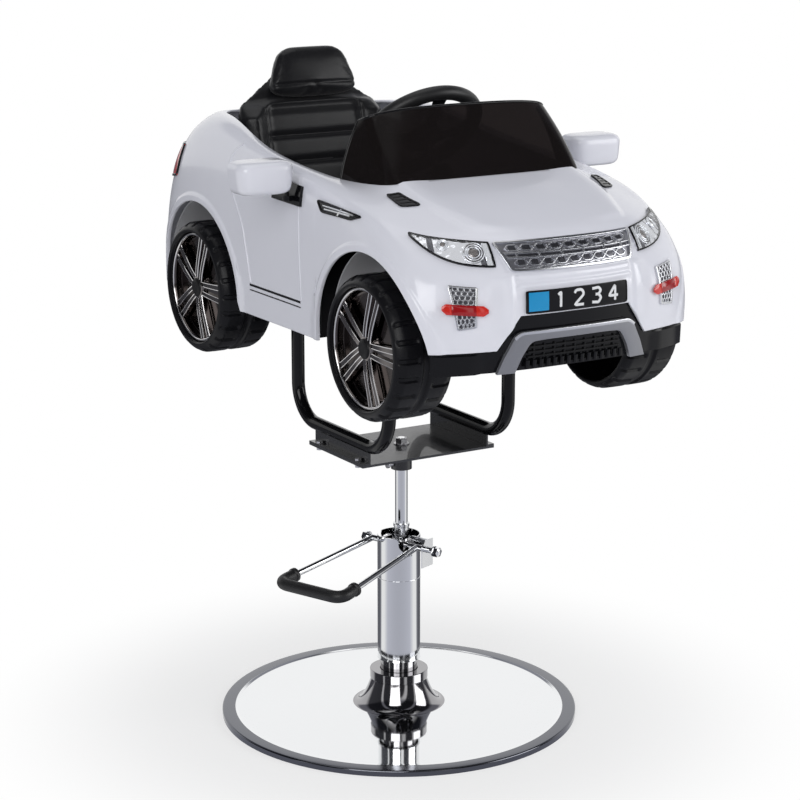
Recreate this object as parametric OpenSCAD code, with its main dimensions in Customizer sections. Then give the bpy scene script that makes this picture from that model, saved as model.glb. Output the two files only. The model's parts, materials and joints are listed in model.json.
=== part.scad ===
/* [Base] */
// Diameter of the round floor base
base_d = 600; // [540:10:680]
// Thickness of the chromed base sheet
base_sheet = 2; // [1.5:0.5:3]
// Height of the base's rolled rim above the floor
rim_h = 10; // [8.5:0.5:14]
// Width of the rolled rim
rim_w = 25; // [18:1:32]
// Depth of the step inside the rolled rim
rim_step = 2; // [1:0.5:3]
// Rise of the dished sheet from the rim to the hub
dish_rise = 5; // [3:1:12]
// Diameter of the trumpet hub at its foot
hub_foot_d = 156; // [130:2:180]
// Diameter of the trumpet hub at its top
hub_top_d = 94; // [90:1:104]
// Height of the trumpet hub's top above the floor
hub_h = 57; // [45:1:75]
// Thickness of the steel weight under the sheet
weight_t = 5; // [3:0.5:5.5]

/* [Pump] */
// Outer diameter of the chromed pump cover
cover_d = 72; // [70:1:80]
// Wall of the pump cover
cover_wall = 1.5; // [1:0.25:2]
// Height of the cover's lower edge above the floor
cover_z = 93; // [88:1:100]
// Height of the cover's top edge above the floor
cover_top_z = 310; // [300:1:330]
// Outer diameter of the chromed flange ring
flange_d = 98; // [96:1:110]
// Height of the flange ring
flange_h = 16; // [12:1:20]
// Diameter of the black neck under the cover
neck_d = 62; // [56:1:66]
// Bore of the lifting cylinder
cylinder_bore = 30; // [28:0.5:32]
// Wall of the lifting cylinder
cylinder_wall = 5; // [4:0.5:6]
// Diameter of the ram
ram_d = 21; // [18:0.5:23]
// Distance of the ram from the middle of the pump cover
ram_off = 7; // [5:0.5:9]
// Height of the gland's lip above the floor
gland_top_z = 327; // [322:1:340]
// How far the ram can sink from the photographed height
lift_down = 90; // [60:5:92]
// How far the ram can rise above the photographed height
lift_up = 40; // [20:5:45]

/* [Pedal] */
// Direction in which the pedal points, seen from above
pedal_az = 201.4; // [180:0.2:230]
// Reach of the pedal's grip from the middle of the pump
pedal_reach = 236; // [200:1:280]
// Width of the pedal between the middles of its arms
pedal_w = 131; // [110:1:150]
// Height of the grip above the floor at rest
grip_z = 272; // [255:1:285]
// Diameter of the pedal's bar
pedal_bar_d = 10; // [8:0.5:12]
// Diameter of the rubber grip
grip_d = 20; // [17:0.5:24]
// Height of the pedal shaft above the floor
shaft_z = 297; // [292:1:299]
// Diameter of the pedal shaft
shaft_d = 10; // [9:0.5:11]

/* [Carrier] */
// Height of the seat plate's top face above the floor
plate_top_z = 463.7; // [455:0.1:480]
// Length of the seat plate across the car
plate_w = 252; // [240:1:270]
// Length of the seat plate along the car
plate_l = 176; // [160:1:200]
// Thickness of the seat plate
plate_t = 4; // [3:0.5:6]
// Diameter of the bent carrier tubes
tube_d = 22; // [20:0.5:25]
// Wall of the carrier tubes
tube_wall = 2; // [1.5:0.25:3]
// Distance between the two tubes across the car
tube_gap_w = 225.2; // [215:0.1:232]
// Distance between a tube's two legs
tube_leg_l = 296; // [290:1:308]
// Radius of the tubes' bends
tube_bend_r = 60; // [50:1:70]
// Height of the angle rails under the tubes
rail_h = 20; // [16:1:25]
// Thickness of the angle rails
rail_t = 3; // [2.5:0.5:4]

/* [Car body] */
// Height of the body's sills above the floor
sill_z = 698; // [690:1:710]
// Half of the body's width
half_w = 250; // [246:1:256]
// Distance from the swivel axis to the nose
nose_reach = 495; // [490:1:505]
// Distance from the swivel axis to the tail
tail_reach = 440; // [434:1:450]
// Height from the sills to the foot of the windscreen
waist_h = 250; // [244:1:256]
// Wall of the moulded body
body_wall = 4; // [3:0.5:5]
// Distance between the front and rear axles
wheelbase = 552; // [548:1:556]
// Distance from the swivel axis forward to the front axle
front_axle_reach = 304; // [302:1:306]
// Radius of the wheel arches
arch_r = 145; // [142:1:147]
// Height of the bumper's white lower edge above the sills
bumper_edge_h = 31; // [27:1:38]
// Height of the nose opening's top edge above the sills
nose_opening_h = 80; // [76:1:86]

/* [Wheels] */
// Diameter of the wheels
wheel_d = 220; // [214:1:224]
// Width of the wheels
wheel_w = 100; // [92:1:102]
// Distance from the car's middle to a wheel's outer face
wheel_face_x = 257; // [255:1:262]
// Height of the axles above the sills
axle_rise = 14; // [12:0.5:16]
// Diameter of the axles
axle_d = 12; // [10:0.5:13]
// Diameter of the chromed rim inserts
rim_d = 184; // [176:1:186]
// Number of twin spokes in a rim insert
spokes = 5; // [4:1:7]
// Number of tread slots around a tyre
tread_slots = 24; // [18:1:30]

/* [Steering] */
// Height of the steering wheel's middle above the sills
helm_rise = 292; // [286:1:296]
// Distance from the swivel axis forward to the steering wheel's middle
helm_reach = 57; // [54:1:60]
// Tilt of the steering wheel from level
helm_tilt = 45.5; // [45:0.5:46]
// Radius of the steering wheel's ring, to the middle of its tube
helm_r = 93; // [85:1:98]
// Diameter of the steering wheel's tube
helm_tube_d = 25; // [20:0.5:27]
// Diameter of the steering column
column_d = 14; // [12:0.5:15]
// Distance from the car's middle to each kingpin
kingpin_x = 165; // [164:0.5:167]
// Length of the knuckles' steering arms
steer_arm = 35; // [33:0.5:36]
// Steering lock of the front wheels
steer_lock = 18; // [12:1:18]
// Turn of the steering wheel at full lock
helm_lock = 42; // [30:1:45]

/* [Seat] */
// Width of the seat cushion
cushion_w = 262; // [240:2:270]
// Depth of the seat cushion
cushion_l = 214; // [200:2:220]
// Thickness of the seat cushion
cushion_t = 38; // [30:1:44]
// Height of the seat box's top above the sills
seat_box_h = 102; // [96:1:108]
// Height of the backrest along its slope
back_h = 258; // [248:1:266]
// Lean of the backrest from upright
back_lean = 12; // [8:0.5:14]
// Height of the headrest pillow
headrest_h = 88; // [80:1:96]
// Depth of the headrest pillow
headrest_t = 42; // [36:1:50]

/* [Hidden] */
$fn = 64;

// One overrun serves all cuts, and one running clearance serves all turning fits
cut = 1;
run_gap = 0.05;
seat_gap = 0.3;

chrome_c = [0.8, 0.81, 0.83];
black_c = [0.07, 0.07, 0.08];
steel_c = [0.62, 0.63, 0.65];
white_c = [0.95, 0.95, 0.96];
rubber_c = [0.12, 0.12, 0.12];
silver_c = [0.55, 0.56, 0.58];
leather_c = [0.09, 0.09, 0.1];
red_c = [0.8, 0.1, 0.08];
smoke_c = [0.16, 0.12, 0.1, 0.8];

// Axis places shared by several pieces
ram_x = -ram_off * cos(pedal_az);
ram_y = -ram_off * sin(pedal_az);
rear_axle_y = wheelbase - front_axle_reach;
axle_z = sill_z + axle_rise;
plate_z = plate_top_z - plate_t;
tube_x = tube_gap_w / 2;
tube_leg_y = tube_leg_l / 2;

module rise(z) translate([0, 0, z]) children();

module ybar() rotate([-90, 0, 0]) children();
module xbar() rotate([0, 90, 0]) children();

module at_ram() translate([ram_x, ram_y, 0]) children();

// Turns the pump's own frame so that +X points along the pedal and +Y along the shaft's far end
module pedal_frame() rotate([0, 0, pedal_az]) mirror([0, 1, 0]) children();

module ring(outer_r, inner_r, h)
  difference() {
    cylinder(r = outer_r, h = h);
    rise(-cut) cylinder(r = inner_r, h = h + 2 * cut);
  }

// A round bar between two points
module bar(a, b, r) {
  d = b - a;
  translate(a)
    rotate([0, acos(d.z / norm(d)), atan2(d.y, d.x)])
      cylinder(r = r, h = norm(d));
}

function unit(v) = v / norm(v);

module hex(across_flats, h)
  cylinder(r = across_flats / 2 / cos(30), h = h, $fn = 6);

// Base: rubber ring, steel weight and the spun chromed sheet
ring_w = 20;
ring_inset = 3;
weight_hole_d = 120;
trumpet_steps = 12;
trumpet_power = 2.2;
sheet_hole_d = 44;
rim_edge_r = 2;
base_r = base_d / 2;
ring_h = rim_h - base_sheet;
dish_z = rim_h - rim_step;
dish_r = base_r - rim_w;

// Height of the sheet's upper face at a radius: dish, then the trumpet's curve
function trumpet_z(r) =
  let (f = (hub_foot_d / 2 - r) / (hub_foot_d / 2 - hub_top_d / 2))
  dish_z + dish_rise + (hub_h - dish_z - dish_rise) * pow(f, trumpet_power);
function sheet_top() = concat(
  [[base_r, 0], [base_r, rim_h - rim_edge_r], [base_r - rim_edge_r, rim_h],
  [dish_r + rim_step, rim_h], [dish_r, dish_z]],
  [for (i = [0:trumpet_steps])
    let (r = (hub_foot_d - (hub_foot_d - hub_top_d) * i / trumpet_steps) / 2) [r, trumpet_z(r)]],
  [[sheet_hole_d / 2, hub_h]]);
function sheet_under() = concat(
  [[sheet_hole_d / 2, hub_h - base_sheet]],
  [for (i = [trumpet_steps:-1:0])
    let (r = (hub_foot_d - (hub_foot_d - hub_top_d) * i / trumpet_steps) / 2)
    [r - base_sheet, trumpet_z(r) - base_sheet]],
  [[dish_r - base_sheet, dish_z - base_sheet], [dish_r, dish_z - base_sheet],
  [dish_r + rim_step, rim_h - base_sheet], [base_r - base_sheet, rim_h - base_sheet],
  [base_r - base_sheet, 0]]);

module base_disc() color(chrome_c)
  difference() {
    rotate_extrude() polygon(concat(sheet_top(), sheet_under()));
    bolt_circle() rise(hub_h - 2 * base_sheet)
      cylinder(r = pump_bolt_d / 2 + bolt_gap, h = 3 * base_sheet);
  }
module base_weight() color(steel_c)
  rise(dish_z - base_sheet - weight_t)
    ring(dish_r - 2 * base_sheet, weight_hole_d / 2, weight_t);
module floor_ring() color(rubber_c)
  ring(base_r - ring_inset, base_r - ring_inset - ring_w, ring_h);

// Pump: cast body with its cylinder, plunger housing and shaft ears
foot_d = 88;
foot_h = 6;
foot_gap = 0.5;
pump_bolt_d = 6;
pump_bolt_ring_d = 72;
pump_bolt_count = 4;
pump_bolt_l = 10;
bolt_gap = 0.3;
thread_gap = 0.05;
bolt_head_h = 4;
bolt_head_af = 10;
block_top_z = 104;
cylinder_floor_z = 100;
cylinder_top_z = 284;
plunger_p = 26;
plunger_d = 8;
housing_d = 14;
housing_top_z = 262;
ear_t = 8;
ear_in_n = 17;
ear_low_z = 255;
ear_rise = 7;
ear_from_p = -4;
ear_to_p = 20;
shaft_p = 12;
bore_r = cylinder_bore / 2;
cylinder_r = bore_r + cylinder_wall;
plunger_drop = 15;

module bolt_circle()
  for (i = [0:pump_bolt_count - 1])
    rotate([0, 0, pedal_az + (i + 0.5) * 360 / pump_bolt_count])
      translate([pump_bolt_ring_d / 2, 0, 0]) children();

module pump_body() color(black_c)
  difference() {
    union() {
      rise(hub_h) cylinder(d = foot_d, h = foot_h);
      rise(hub_h) cylinder(d = neck_d, h = block_top_z - hub_h);
      at_ram() rise(cylinder_floor_z) cylinder(r = cylinder_r, h = cylinder_top_z - cylinder_floor_z);
      pedal_frame() translate([plunger_p, 0, cylinder_floor_z])
        cylinder(d = housing_d, h = housing_top_z - cylinder_floor_z);
      pedal_frame() for (s = [-1, 1])
        translate([ear_from_p, s * (ear_in_n + ear_t / 2) - ear_t / 2, ear_low_z])
          cube([ear_to_p - ear_from_p, ear_t, shaft_z + ear_rise - ear_low_z]);
    }
    at_ram() rise(cylinder_floor_z) cylinder(r = bore_r, h = cylinder_top_z);
    pedal_frame() translate([plunger_p, 0, housing_top_z - plunger_drop * 3])
      cylinder(d = plunger_d + 2 * run_gap, h = plunger_drop * 4);
    pedal_frame() translate([shaft_p, -cover_d, shaft_z]) ybar()
      cylinder(d = shaft_d + 2 * run_gap, h = 2 * cover_d);
    bolt_circle() rise(hub_h - cut)
      cylinder(r = pump_bolt_d / 2 + thread_gap, h = foot_h + cut);
  }

module pump_bolts() color(steel_c)
  bolt_circle() {
    rise(hub_h - base_sheet - bolt_head_h - foot_gap) hex(bolt_head_af, bolt_head_h);
    rise(hub_h - base_sheet - bolt_head_h) cylinder(d = pump_bolt_d, h = pump_bolt_l);
  }

module pump_flange() color(chrome_c)
  rise(hub_h) difference() {
    cylinder(d = flange_d, h = flange_h);
    rise(-cut) cylinder(d = foot_d + 2 * foot_gap, h = foot_h + foot_gap + cut);
    rise(-cut) cylinder(d = neck_d + 2 * foot_gap, h = flange_h + 2 * cut);
  }

// Cover: a chromed sleeve with a wide slot at the shaft's near end and a narrow one at its far end
near_slot_w = 34;
far_slot_w = 18;
near_slot_drop = 14;
far_slot_drop = 10;
cover_bead = 1;
cover_bead_h = 2;
cover_seam_z = 234;
cover_r = cover_d / 2;

module cover_slot(side, w, drop)
  pedal_frame() translate([shaft_p, side * cover_r / 2, shaft_z - drop + w / 2])
    rotate([-90 * side, 0, 0]) linear_extrude(height = cover_r) {
      circle(d = w);
      translate([-w / 2, -side * (side > 0 ? cover_d : 0)]) square([w, cover_d]);
    }

module pump_cover() color(chrome_c)
  difference() {
    union() {
      rise(cover_z) cylinder(r = cover_r, h = cover_top_z - cover_z);
      rise(cover_seam_z) cylinder(r = cover_r + cover_bead / 2, h = cover_bead_h);
      rise(cover_z) cylinder(r = cover_r + cover_bead, h = cover_bead_h);
    }
    rise(cover_z - cut)
      cylinder(r = cover_r - cover_wall, h = cover_top_z - cover_z + 2 * cut);
    cover_slot(-1, near_slot_w, near_slot_drop);
    cover_slot(1, far_slot_w, far_slot_drop);
  }

// Gland: the bush that guides the ram, with a lip that wipes it
gland_neck_d = 25;
gland_lip_d = 27;
gland_lip_h = 5;
gland_flange_h = 5;
gland_flange_w = 1.7;
rocker_hub_d = 14;

ram_r = ram_d / 2;
module ram_gland() color(chrome_c)
  at_ram() difference() {
    union() {
      rise(cylinder_top_z) cylinder(r = bore_r + gland_flange_w, h = gland_flange_h);
      rise(cylinder_top_z - gland_flange_h * 2) cylinder(r = bore_r - run_gap, h = gland_flange_h * 2);
      rise(cylinder_top_z) cylinder(d = gland_neck_d, h = gland_top_z - cylinder_top_z);
      rise(gland_top_z - gland_lip_h) cylinder(d = gland_lip_d, h = gland_lip_h);
    }
    rise(cylinder_top_z - gland_flange_h * 2 - cut)
      cylinder(r = ram_r + run_gap, h = gland_top_z - cylinder_top_z + gland_flange_h * 3);
    pedal_bar_clearance();
  }
module pedal_bar_clearance()
  translate([-ram_x, -ram_y, 0]) pedal_frame() translate([shaft_p, -cover_r, shaft_z])
        ybar() cylinder(d = rocker_hub_d + cut, h = cover_d);

// Bracket: a folded sheet that steadies the shaft's near end outside the cover
bracket_n = 66;
bracket_w = 30;
bracket_t = 2;
bracket_p = -4;
bracket_low_z = 268;
bracket_top_z = 314;
bracket_corner = 10;
module shaft_bracket() color(silver_c)
  pedal_frame() difference() {
    union() {
      translate([bracket_p, -bracket_n, 0]) rotate([90, 0, 0])
        linear_extrude(height = bracket_t) polygon([[0, bracket_low_z], [bracket_w, bracket_low_z],
          [bracket_w, bracket_top_z - bracket_corner], [bracket_w - bracket_corner, bracket_top_z],
          [0, bracket_top_z]]);
            translate([bracket_p, -bracket_n - bracket_t / 2, shaft_z])
        cube([bracket_t, bracket_n - ear_in_n - ear_t - seat_gap + bracket_t / 2,
          bracket_top_z - shaft_z - bracket_t * 2]);
    }
    translate([shaft_p, -cover_d * 2, shaft_z]) ybar()
      cylinder(d = shaft_d + 2 * run_gap, h = cover_d * 2);
  }

// Plunger: pressed by the rocker, pushed back by its spring
plunger_head_d = 13;
plunger_head_h = 4;
plunger_l = 40;
spring_wire = 1.6;
spring_turns = 5;
spring_sides = 6;
spring_steps = 12;
rocker_contact_gap = 0.3;
rocker_nose_r = 4;
plunger_top_z = shaft_z - rocker_nose_r - rocker_contact_gap;
spring_low_z = housing_top_z + spring_wire / 2;
spring_high_z = plunger_top_z - plunger_head_h - spring_wire / 2;
module pump_plunger() color(steel_c)
  pedal_frame() translate([plunger_p, 0, 0]) {
    rise(plunger_top_z - plunger_head_h) cylinder(d = plunger_head_d, h = plunger_head_h);
    rise(plunger_top_z - plunger_l) cylinder(d = plunger_d, h = plunger_l);
  }
spring_r = (plunger_d + plunger_head_d) / 4;
spring_rings = spring_turns * spring_steps;
// Middle line of the coil: radius fixed, angle and height grow evenly
function coil_point(i) =
  let (a = 360 * i / spring_steps, f = i / spring_rings)
  [spring_r * cos(a), spring_r * sin(a), spring_low_z + (spring_high_z - spring_low_z) * f];
function coil_ring(i) =
  let (a = 360 * i / spring_steps, c = coil_point(i), out = [cos(a), sin(a), 0])
  [for (k = [0:spring_sides - 1])
    let (b = 360 * k / spring_sides)
    c + spring_wire / 2 * (cos(b) * out - sin(b) * [0, 0, 1])];
module plunger_spring() color(steel_c)
  pedal_frame() translate([plunger_p, 0, 0]) tube_mesh([for (i = [0:spring_rings]) coil_ring(i)]);

// A closed tube through rings of equal point counts
module tube_mesh(rings) {
  n = len(rings);
  m = len(rings[0]);
  pts = [for (r = rings) each r];
  side = [for (i = [0:n - 2], k = [0:m - 1])
    let (a = i * m + k, b = i * m + (k + 1) % m, c = b + m, d = a + m)
    each [[a, c, b], [a, d, c]]];
  low = [for (k = [1:m - 2]) [0, k, k + 1]];
  high = [for (k = [1:m - 2]) [(n - 1) * m, (n - 1) * m + k + 1, (n - 1) * m + k]];
  polyhedron(points = pts, faces = concat(side, low, high), convexity = 6);
}

// Lift: piston that slides in the cylinder and carries the turning ram
piston_h = 24;
piston_low_z = 192;
spigot_d = 15;
spigot_l = 16;
seal_h = 5;
seal_depth = 2;
piston_r = bore_r - run_gap;
module piston_head() color(steel_c)
  at_ram() rise(piston_low_z) difference() {
    cylinder(r = piston_r, h = piston_h);
    rise(piston_h - spigot_l - seat_gap) cylinder(d = spigot_d + 2 * run_gap, h = spigot_l + cut);
    rise(piston_h / 4 - seal_h / 2) ring(piston_r + cut, piston_r - seal_depth, seal_h);
  }
module piston_seal() color(rubber_c)
  at_ram() rise(piston_low_z + piston_h / 4 - seal_h / 2 + run_gap)
    ring(bore_r - run_gap / 2, piston_r - seal_depth + run_gap, seal_h - 2 * run_gap);

// Ram rod: runs from the piston through the gland into the hub collar, with a threaded top
stud_d = 12;
stud_l = 15;
module ram_rod() color(chrome_c)
  at_ram() {
    rise(piston_low_z + piston_h + seat_gap)
      cylinder(r = ram_r, h = plate_z - piston_low_z - piston_h - seat_gap);
    rise(piston_low_z + piston_h - spigot_l) cylinder(d = spigot_d, h = spigot_l + cut);
    rise(plate_z - cut) cylinder(d = stud_d, h = stud_l + cut);
  }

// Pedal: bent bar, rubber grip, shaft, rocker and end nuts. The bar lies in one sloping plane,
// whose X runs from the cross bar up to the shaft and whose Y runs along the cross bar
arm_root_n = 46;
corner_r = 22;
corner_steps = 7;
pedal_sides = 16;
grip_arm_l = 24;
shaft_near_n = 92;
shaft_far_n = 64;
collar_t = 1.5;
collar_l = 7;
pedal_half = pedal_w / 2;
pedal_run = norm([pedal_reach - shaft_p, shaft_z - grip_z]);
pedal_slope = atan2(shaft_z - grip_z, pedal_reach - shaft_p);
arm_turn = atan2(pedal_half - arm_root_n, pedal_run);
corner_cut = corner_r / tan((90 - arm_turn) / 2);
arm_l = norm([pedal_half - arm_root_n, pedal_run]);
// One half of the bar's middle line as [x, y, heading], from the arm's end to the cross bar
function pedal_half_line(arm) = concat(
  [[arm * cos(arm_turn), pedal_half - arm * sin(arm_turn), 180 - arm_turn]],
  [for (i = [0:corner_steps])
    let (h = 180 - arm_turn + (90 + arm_turn) * i / corner_steps)
    [corner_r + corner_r * sin(h), pedal_half - corner_cut - corner_r * cos(h), h]]);
function pedal_line(arm) =
  let (a = pedal_half_line(arm))
  concat(a, [for (i = [len(a) - 1:-1:0]) [a[i].x, -a[i].y, 180 - a[i].z]]);
module pedal_tube(line, r)
  tube_mesh([for (q = line) [for (k = [0:pedal_sides - 1])
    let (b = 360 * k / pedal_sides)
    [q.x - r * cos(b) * sin(q.z), q.y + r * cos(b) * cos(q.z), r * sin(b)]]]);
module pedal_plane() pedal_frame() translate([pedal_reach, 0, grip_z]) rotate([0, pedal_slope, 0])
    rotate([0, 0, 180]) children();
module pedal_bar() color(chrome_c) pedal_plane() difference() {
  pedal_tube(pedal_line(arm_l), pedal_bar_d / 2);
  translate([pedal_run, -shaft_near_n, 0]) ybar() cylinder(d = shaft_d, h = shaft_near_n * 2);
}
module pedal_grip() color(rubber_c) pedal_plane() difference() {
  union() {
    pedal_tube(pedal_line(corner_cut + grip_arm_l), grip_d / 2);
    for (s = [0, 1]) mirror([0, s, 0]) translate([0, pedal_half, 0]) rotate([0, 0, -arm_turn])
      translate([corner_cut + grip_arm_l - collar_l, 0, 0])
        xbar() cylinder(r = grip_d / 2 + collar_t, h = collar_l + collar_t);
  }
  pedal_tube(pedal_line(arm_l), pedal_bar_d / 2 + run_gap);
}
module pedal_shaft() color(chrome_c)
  pedal_frame() translate([shaft_p, -shaft_near_n, shaft_z]) rotate([-90, 0, 0])
    cylinder(d = shaft_d, h = shaft_near_n + shaft_far_n);
rocker_w = 10;

module rocker_arm() color(steel_c)
  pedal_frame() difference() {
    union() {
      translate([shaft_p, -rocker_w / 2, shaft_z]) ybar() cylinder(d = rocker_hub_d, h = rocker_w);
      translate([plunger_p, -rocker_w / 2, shaft_z]) ybar() cylinder(r = rocker_nose_r, h = rocker_w);
      translate([shaft_p, -rocker_w / 2, shaft_z - rocker_nose_r])
        cube([plunger_p - shaft_p, rocker_w, rocker_nose_r * 2]);
    }
    translate([shaft_p, -cover_d, shaft_z]) ybar() cylinder(d = shaft_d, h = 2 * cover_d);
  }
nut_af = 15;
nut_h = 8;
nut_washer_d = 18;
nut_washer_h = 2;
module pedal_nuts() color(chrome_c)
  pedal_frame() for (s = [[-1, shaft_near_n], [1, shaft_far_n]])
    translate([shaft_p, s[0] * s[1], shaft_z]) rotate([-90 * s[0], 0, 0]) difference() {
      rise(-nut_h - nut_washer_h) {
        cylinder(d = nut_washer_d, h = nut_washer_h);
        rise(nut_washer_h) hex(nut_af, nut_h);
        rise(nut_washer_h + nut_h) cylinder(d1 = nut_af, d2 = nut_af / 2, h = nut_washer_h);
      }
      rise(-nut_h - nut_washer_h - cut) cylinder(d = shaft_d, h = nut_h + nut_washer_h + cut);
    }

// Carrier: hub collar, plate, angle rails and bent tubes between the ram and the car
collar_d = 35;
collar_h = 38;
lock_d = 8;
lock_l = 14;
centre_nut_af = 18.5;
centre_nut_h = 9;
washer_d = 26;
washer_h = 1.5;
rail_bolt_d = 6;
rail_bolt_af = 10;
rail_bolt_h = 4;
rail_bolt_share = 0.72;
rail_inner_x = tube_x - rail_t / 2;
rail_bolt_x = (plate_w / 2 + rail_inner_x + rail_t) / 2;
rail_bolt_y = rail_bolt_share * plate_l / 2;
collar_z = plate_z - collar_h;
module hub_collar() color(black_c)
  at_ram() difference() {
    rise(collar_z) cylinder(d = collar_d, h = collar_h);
    rise(collar_z - cut) cylinder(r = ram_r + run_gap, h = collar_h + 2 * cut);
    rise(collar_z + collar_h / 4) rotate([0, -90, 0]) cylinder(d = lock_d + 2 * run_gap, h = collar_d);
  }
module seat_plate() color(black_c)
  at_ram() difference() {
    translate([-plate_w / 2, -plate_l / 2, plate_z]) cube([plate_w, plate_l, plate_t]);
    rise(plate_z - cut) cylinder(d = stud_d + 2 * bolt_gap, h = plate_t + 2 * cut);
    rail_bolt_places() rise(plate_z - cut)
      cylinder(d = rail_bolt_d + 2 * bolt_gap, h = plate_t + 2 * cut);
  }
module rail_bolt_places()
  for (sx = [-1, 1], sy = [-1, 1])
    translate([sx * rail_bolt_x, sy * rail_bolt_y, 0]) children();
module rails() color(black_c)
  at_ram() difference() {
    for (s = [0, 1]) mirror([s, 0, 0]) translate([rail_inner_x, -plate_l / 2, plate_top_z]) {
      cube([rail_t, plate_l, rail_h]);
      cube([plate_w / 2 - rail_inner_x, plate_l, rail_t]);
    }
    rail_bolt_places() rise(plate_top_z - cut)
      cylinder(d = rail_bolt_d + 2 * bolt_gap, h = rail_t + 2 * cut);
  }
module plate_fasteners() color(steel_c)
  at_ram() {
    rail_bolt_places() {
      rise(plate_z - rail_bolt_h) hex(rail_bolt_af, rail_bolt_h);
      rise(plate_z - cut) cylinder(d = rail_bolt_d, h = plate_t + rail_t + cut);
      rise(plate_top_z + rail_t) hex(rail_bolt_af, rail_bolt_h);
    }
    difference() {
      rise(plate_top_z) {
        cylinder(d = washer_d, h = washer_h);
        rise(washer_h) hex(centre_nut_af, centre_nut_h);
      }
      rise(plate_z - cut) cylinder(d = stud_d + 2 * run_gap, h = stud_l + 2 * cut);
    }
    rise(collar_z + collar_h / 4) rotate([0, -90, 0]) {
      rise(ram_r + 2 * run_gap) cylinder(d = lock_d, h = lock_l);
      rise(ram_r + lock_l) cylinder(d = lock_d * 1.5, h = lock_d / 2);
    }
  }
pan_rise = 1;
pan_t = 5;
pan_z = sill_z + pan_rise;
pan_top_z = pan_z + pan_t;
tube_r = tube_d / 2;
tube_run_z = plate_top_z + rail_h + tube_r + run_gap;
foot_t = 3;
tube_top_z = pan_z - foot_t - 2 * run_gap;
module tube_bend(r, dir)
  translate([0, dir * (tube_leg_y - tube_bend_r), tube_run_z + tube_bend_r])
    rotate([0, 90, 0]) rotate([0, 0, dir > 0 ? 0 : -90])
      rotate_extrude(angle = 90) translate([tube_bend_r, 0]) circle(r = r);
module tube_line(r, over) {
  for (dir = [-1, 1]) {
    tube_bend(r, dir);
    translate([0, dir * tube_leg_y, tube_run_z + tube_bend_r])
      cylinder(r = r, h = tube_top_z - tube_run_z - tube_bend_r + over);
  }
  translate([0, tube_leg_y - tube_bend_r, tube_run_z]) rotate([90, 0, 0])
    cylinder(r = r, h = 2 * (tube_leg_y - tube_bend_r));
}
module carrier_tubes() color(black_c)
  at_ram() for (s = [-1, 1]) translate([s * tube_x, 0, 0])
    difference() {
      tube_line(tube_r, 0);
      tube_line(tube_r - tube_wall, cut);
    }
foot_w = 48;
foot_l = 30;
foot_screw_x = 17;
foot_head_d = 9;
foot_head_h = 3;
module tube_feet() color(black_c)
  at_ram() for (sx = [-1, 1], sy = [-1, 1]) translate([sx * tube_x, sy * tube_leg_y, 0]) {
    translate([-foot_w / 2, -foot_l / 2, pan_z - foot_t - run_gap]) cube([foot_w, foot_l, foot_t]);
    for (s = [-1, 1]) translate([s * foot_screw_x, 0, pan_z - foot_t - foot_head_h])
      cylinder(d = foot_head_d, h = foot_head_h);
  }

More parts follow.
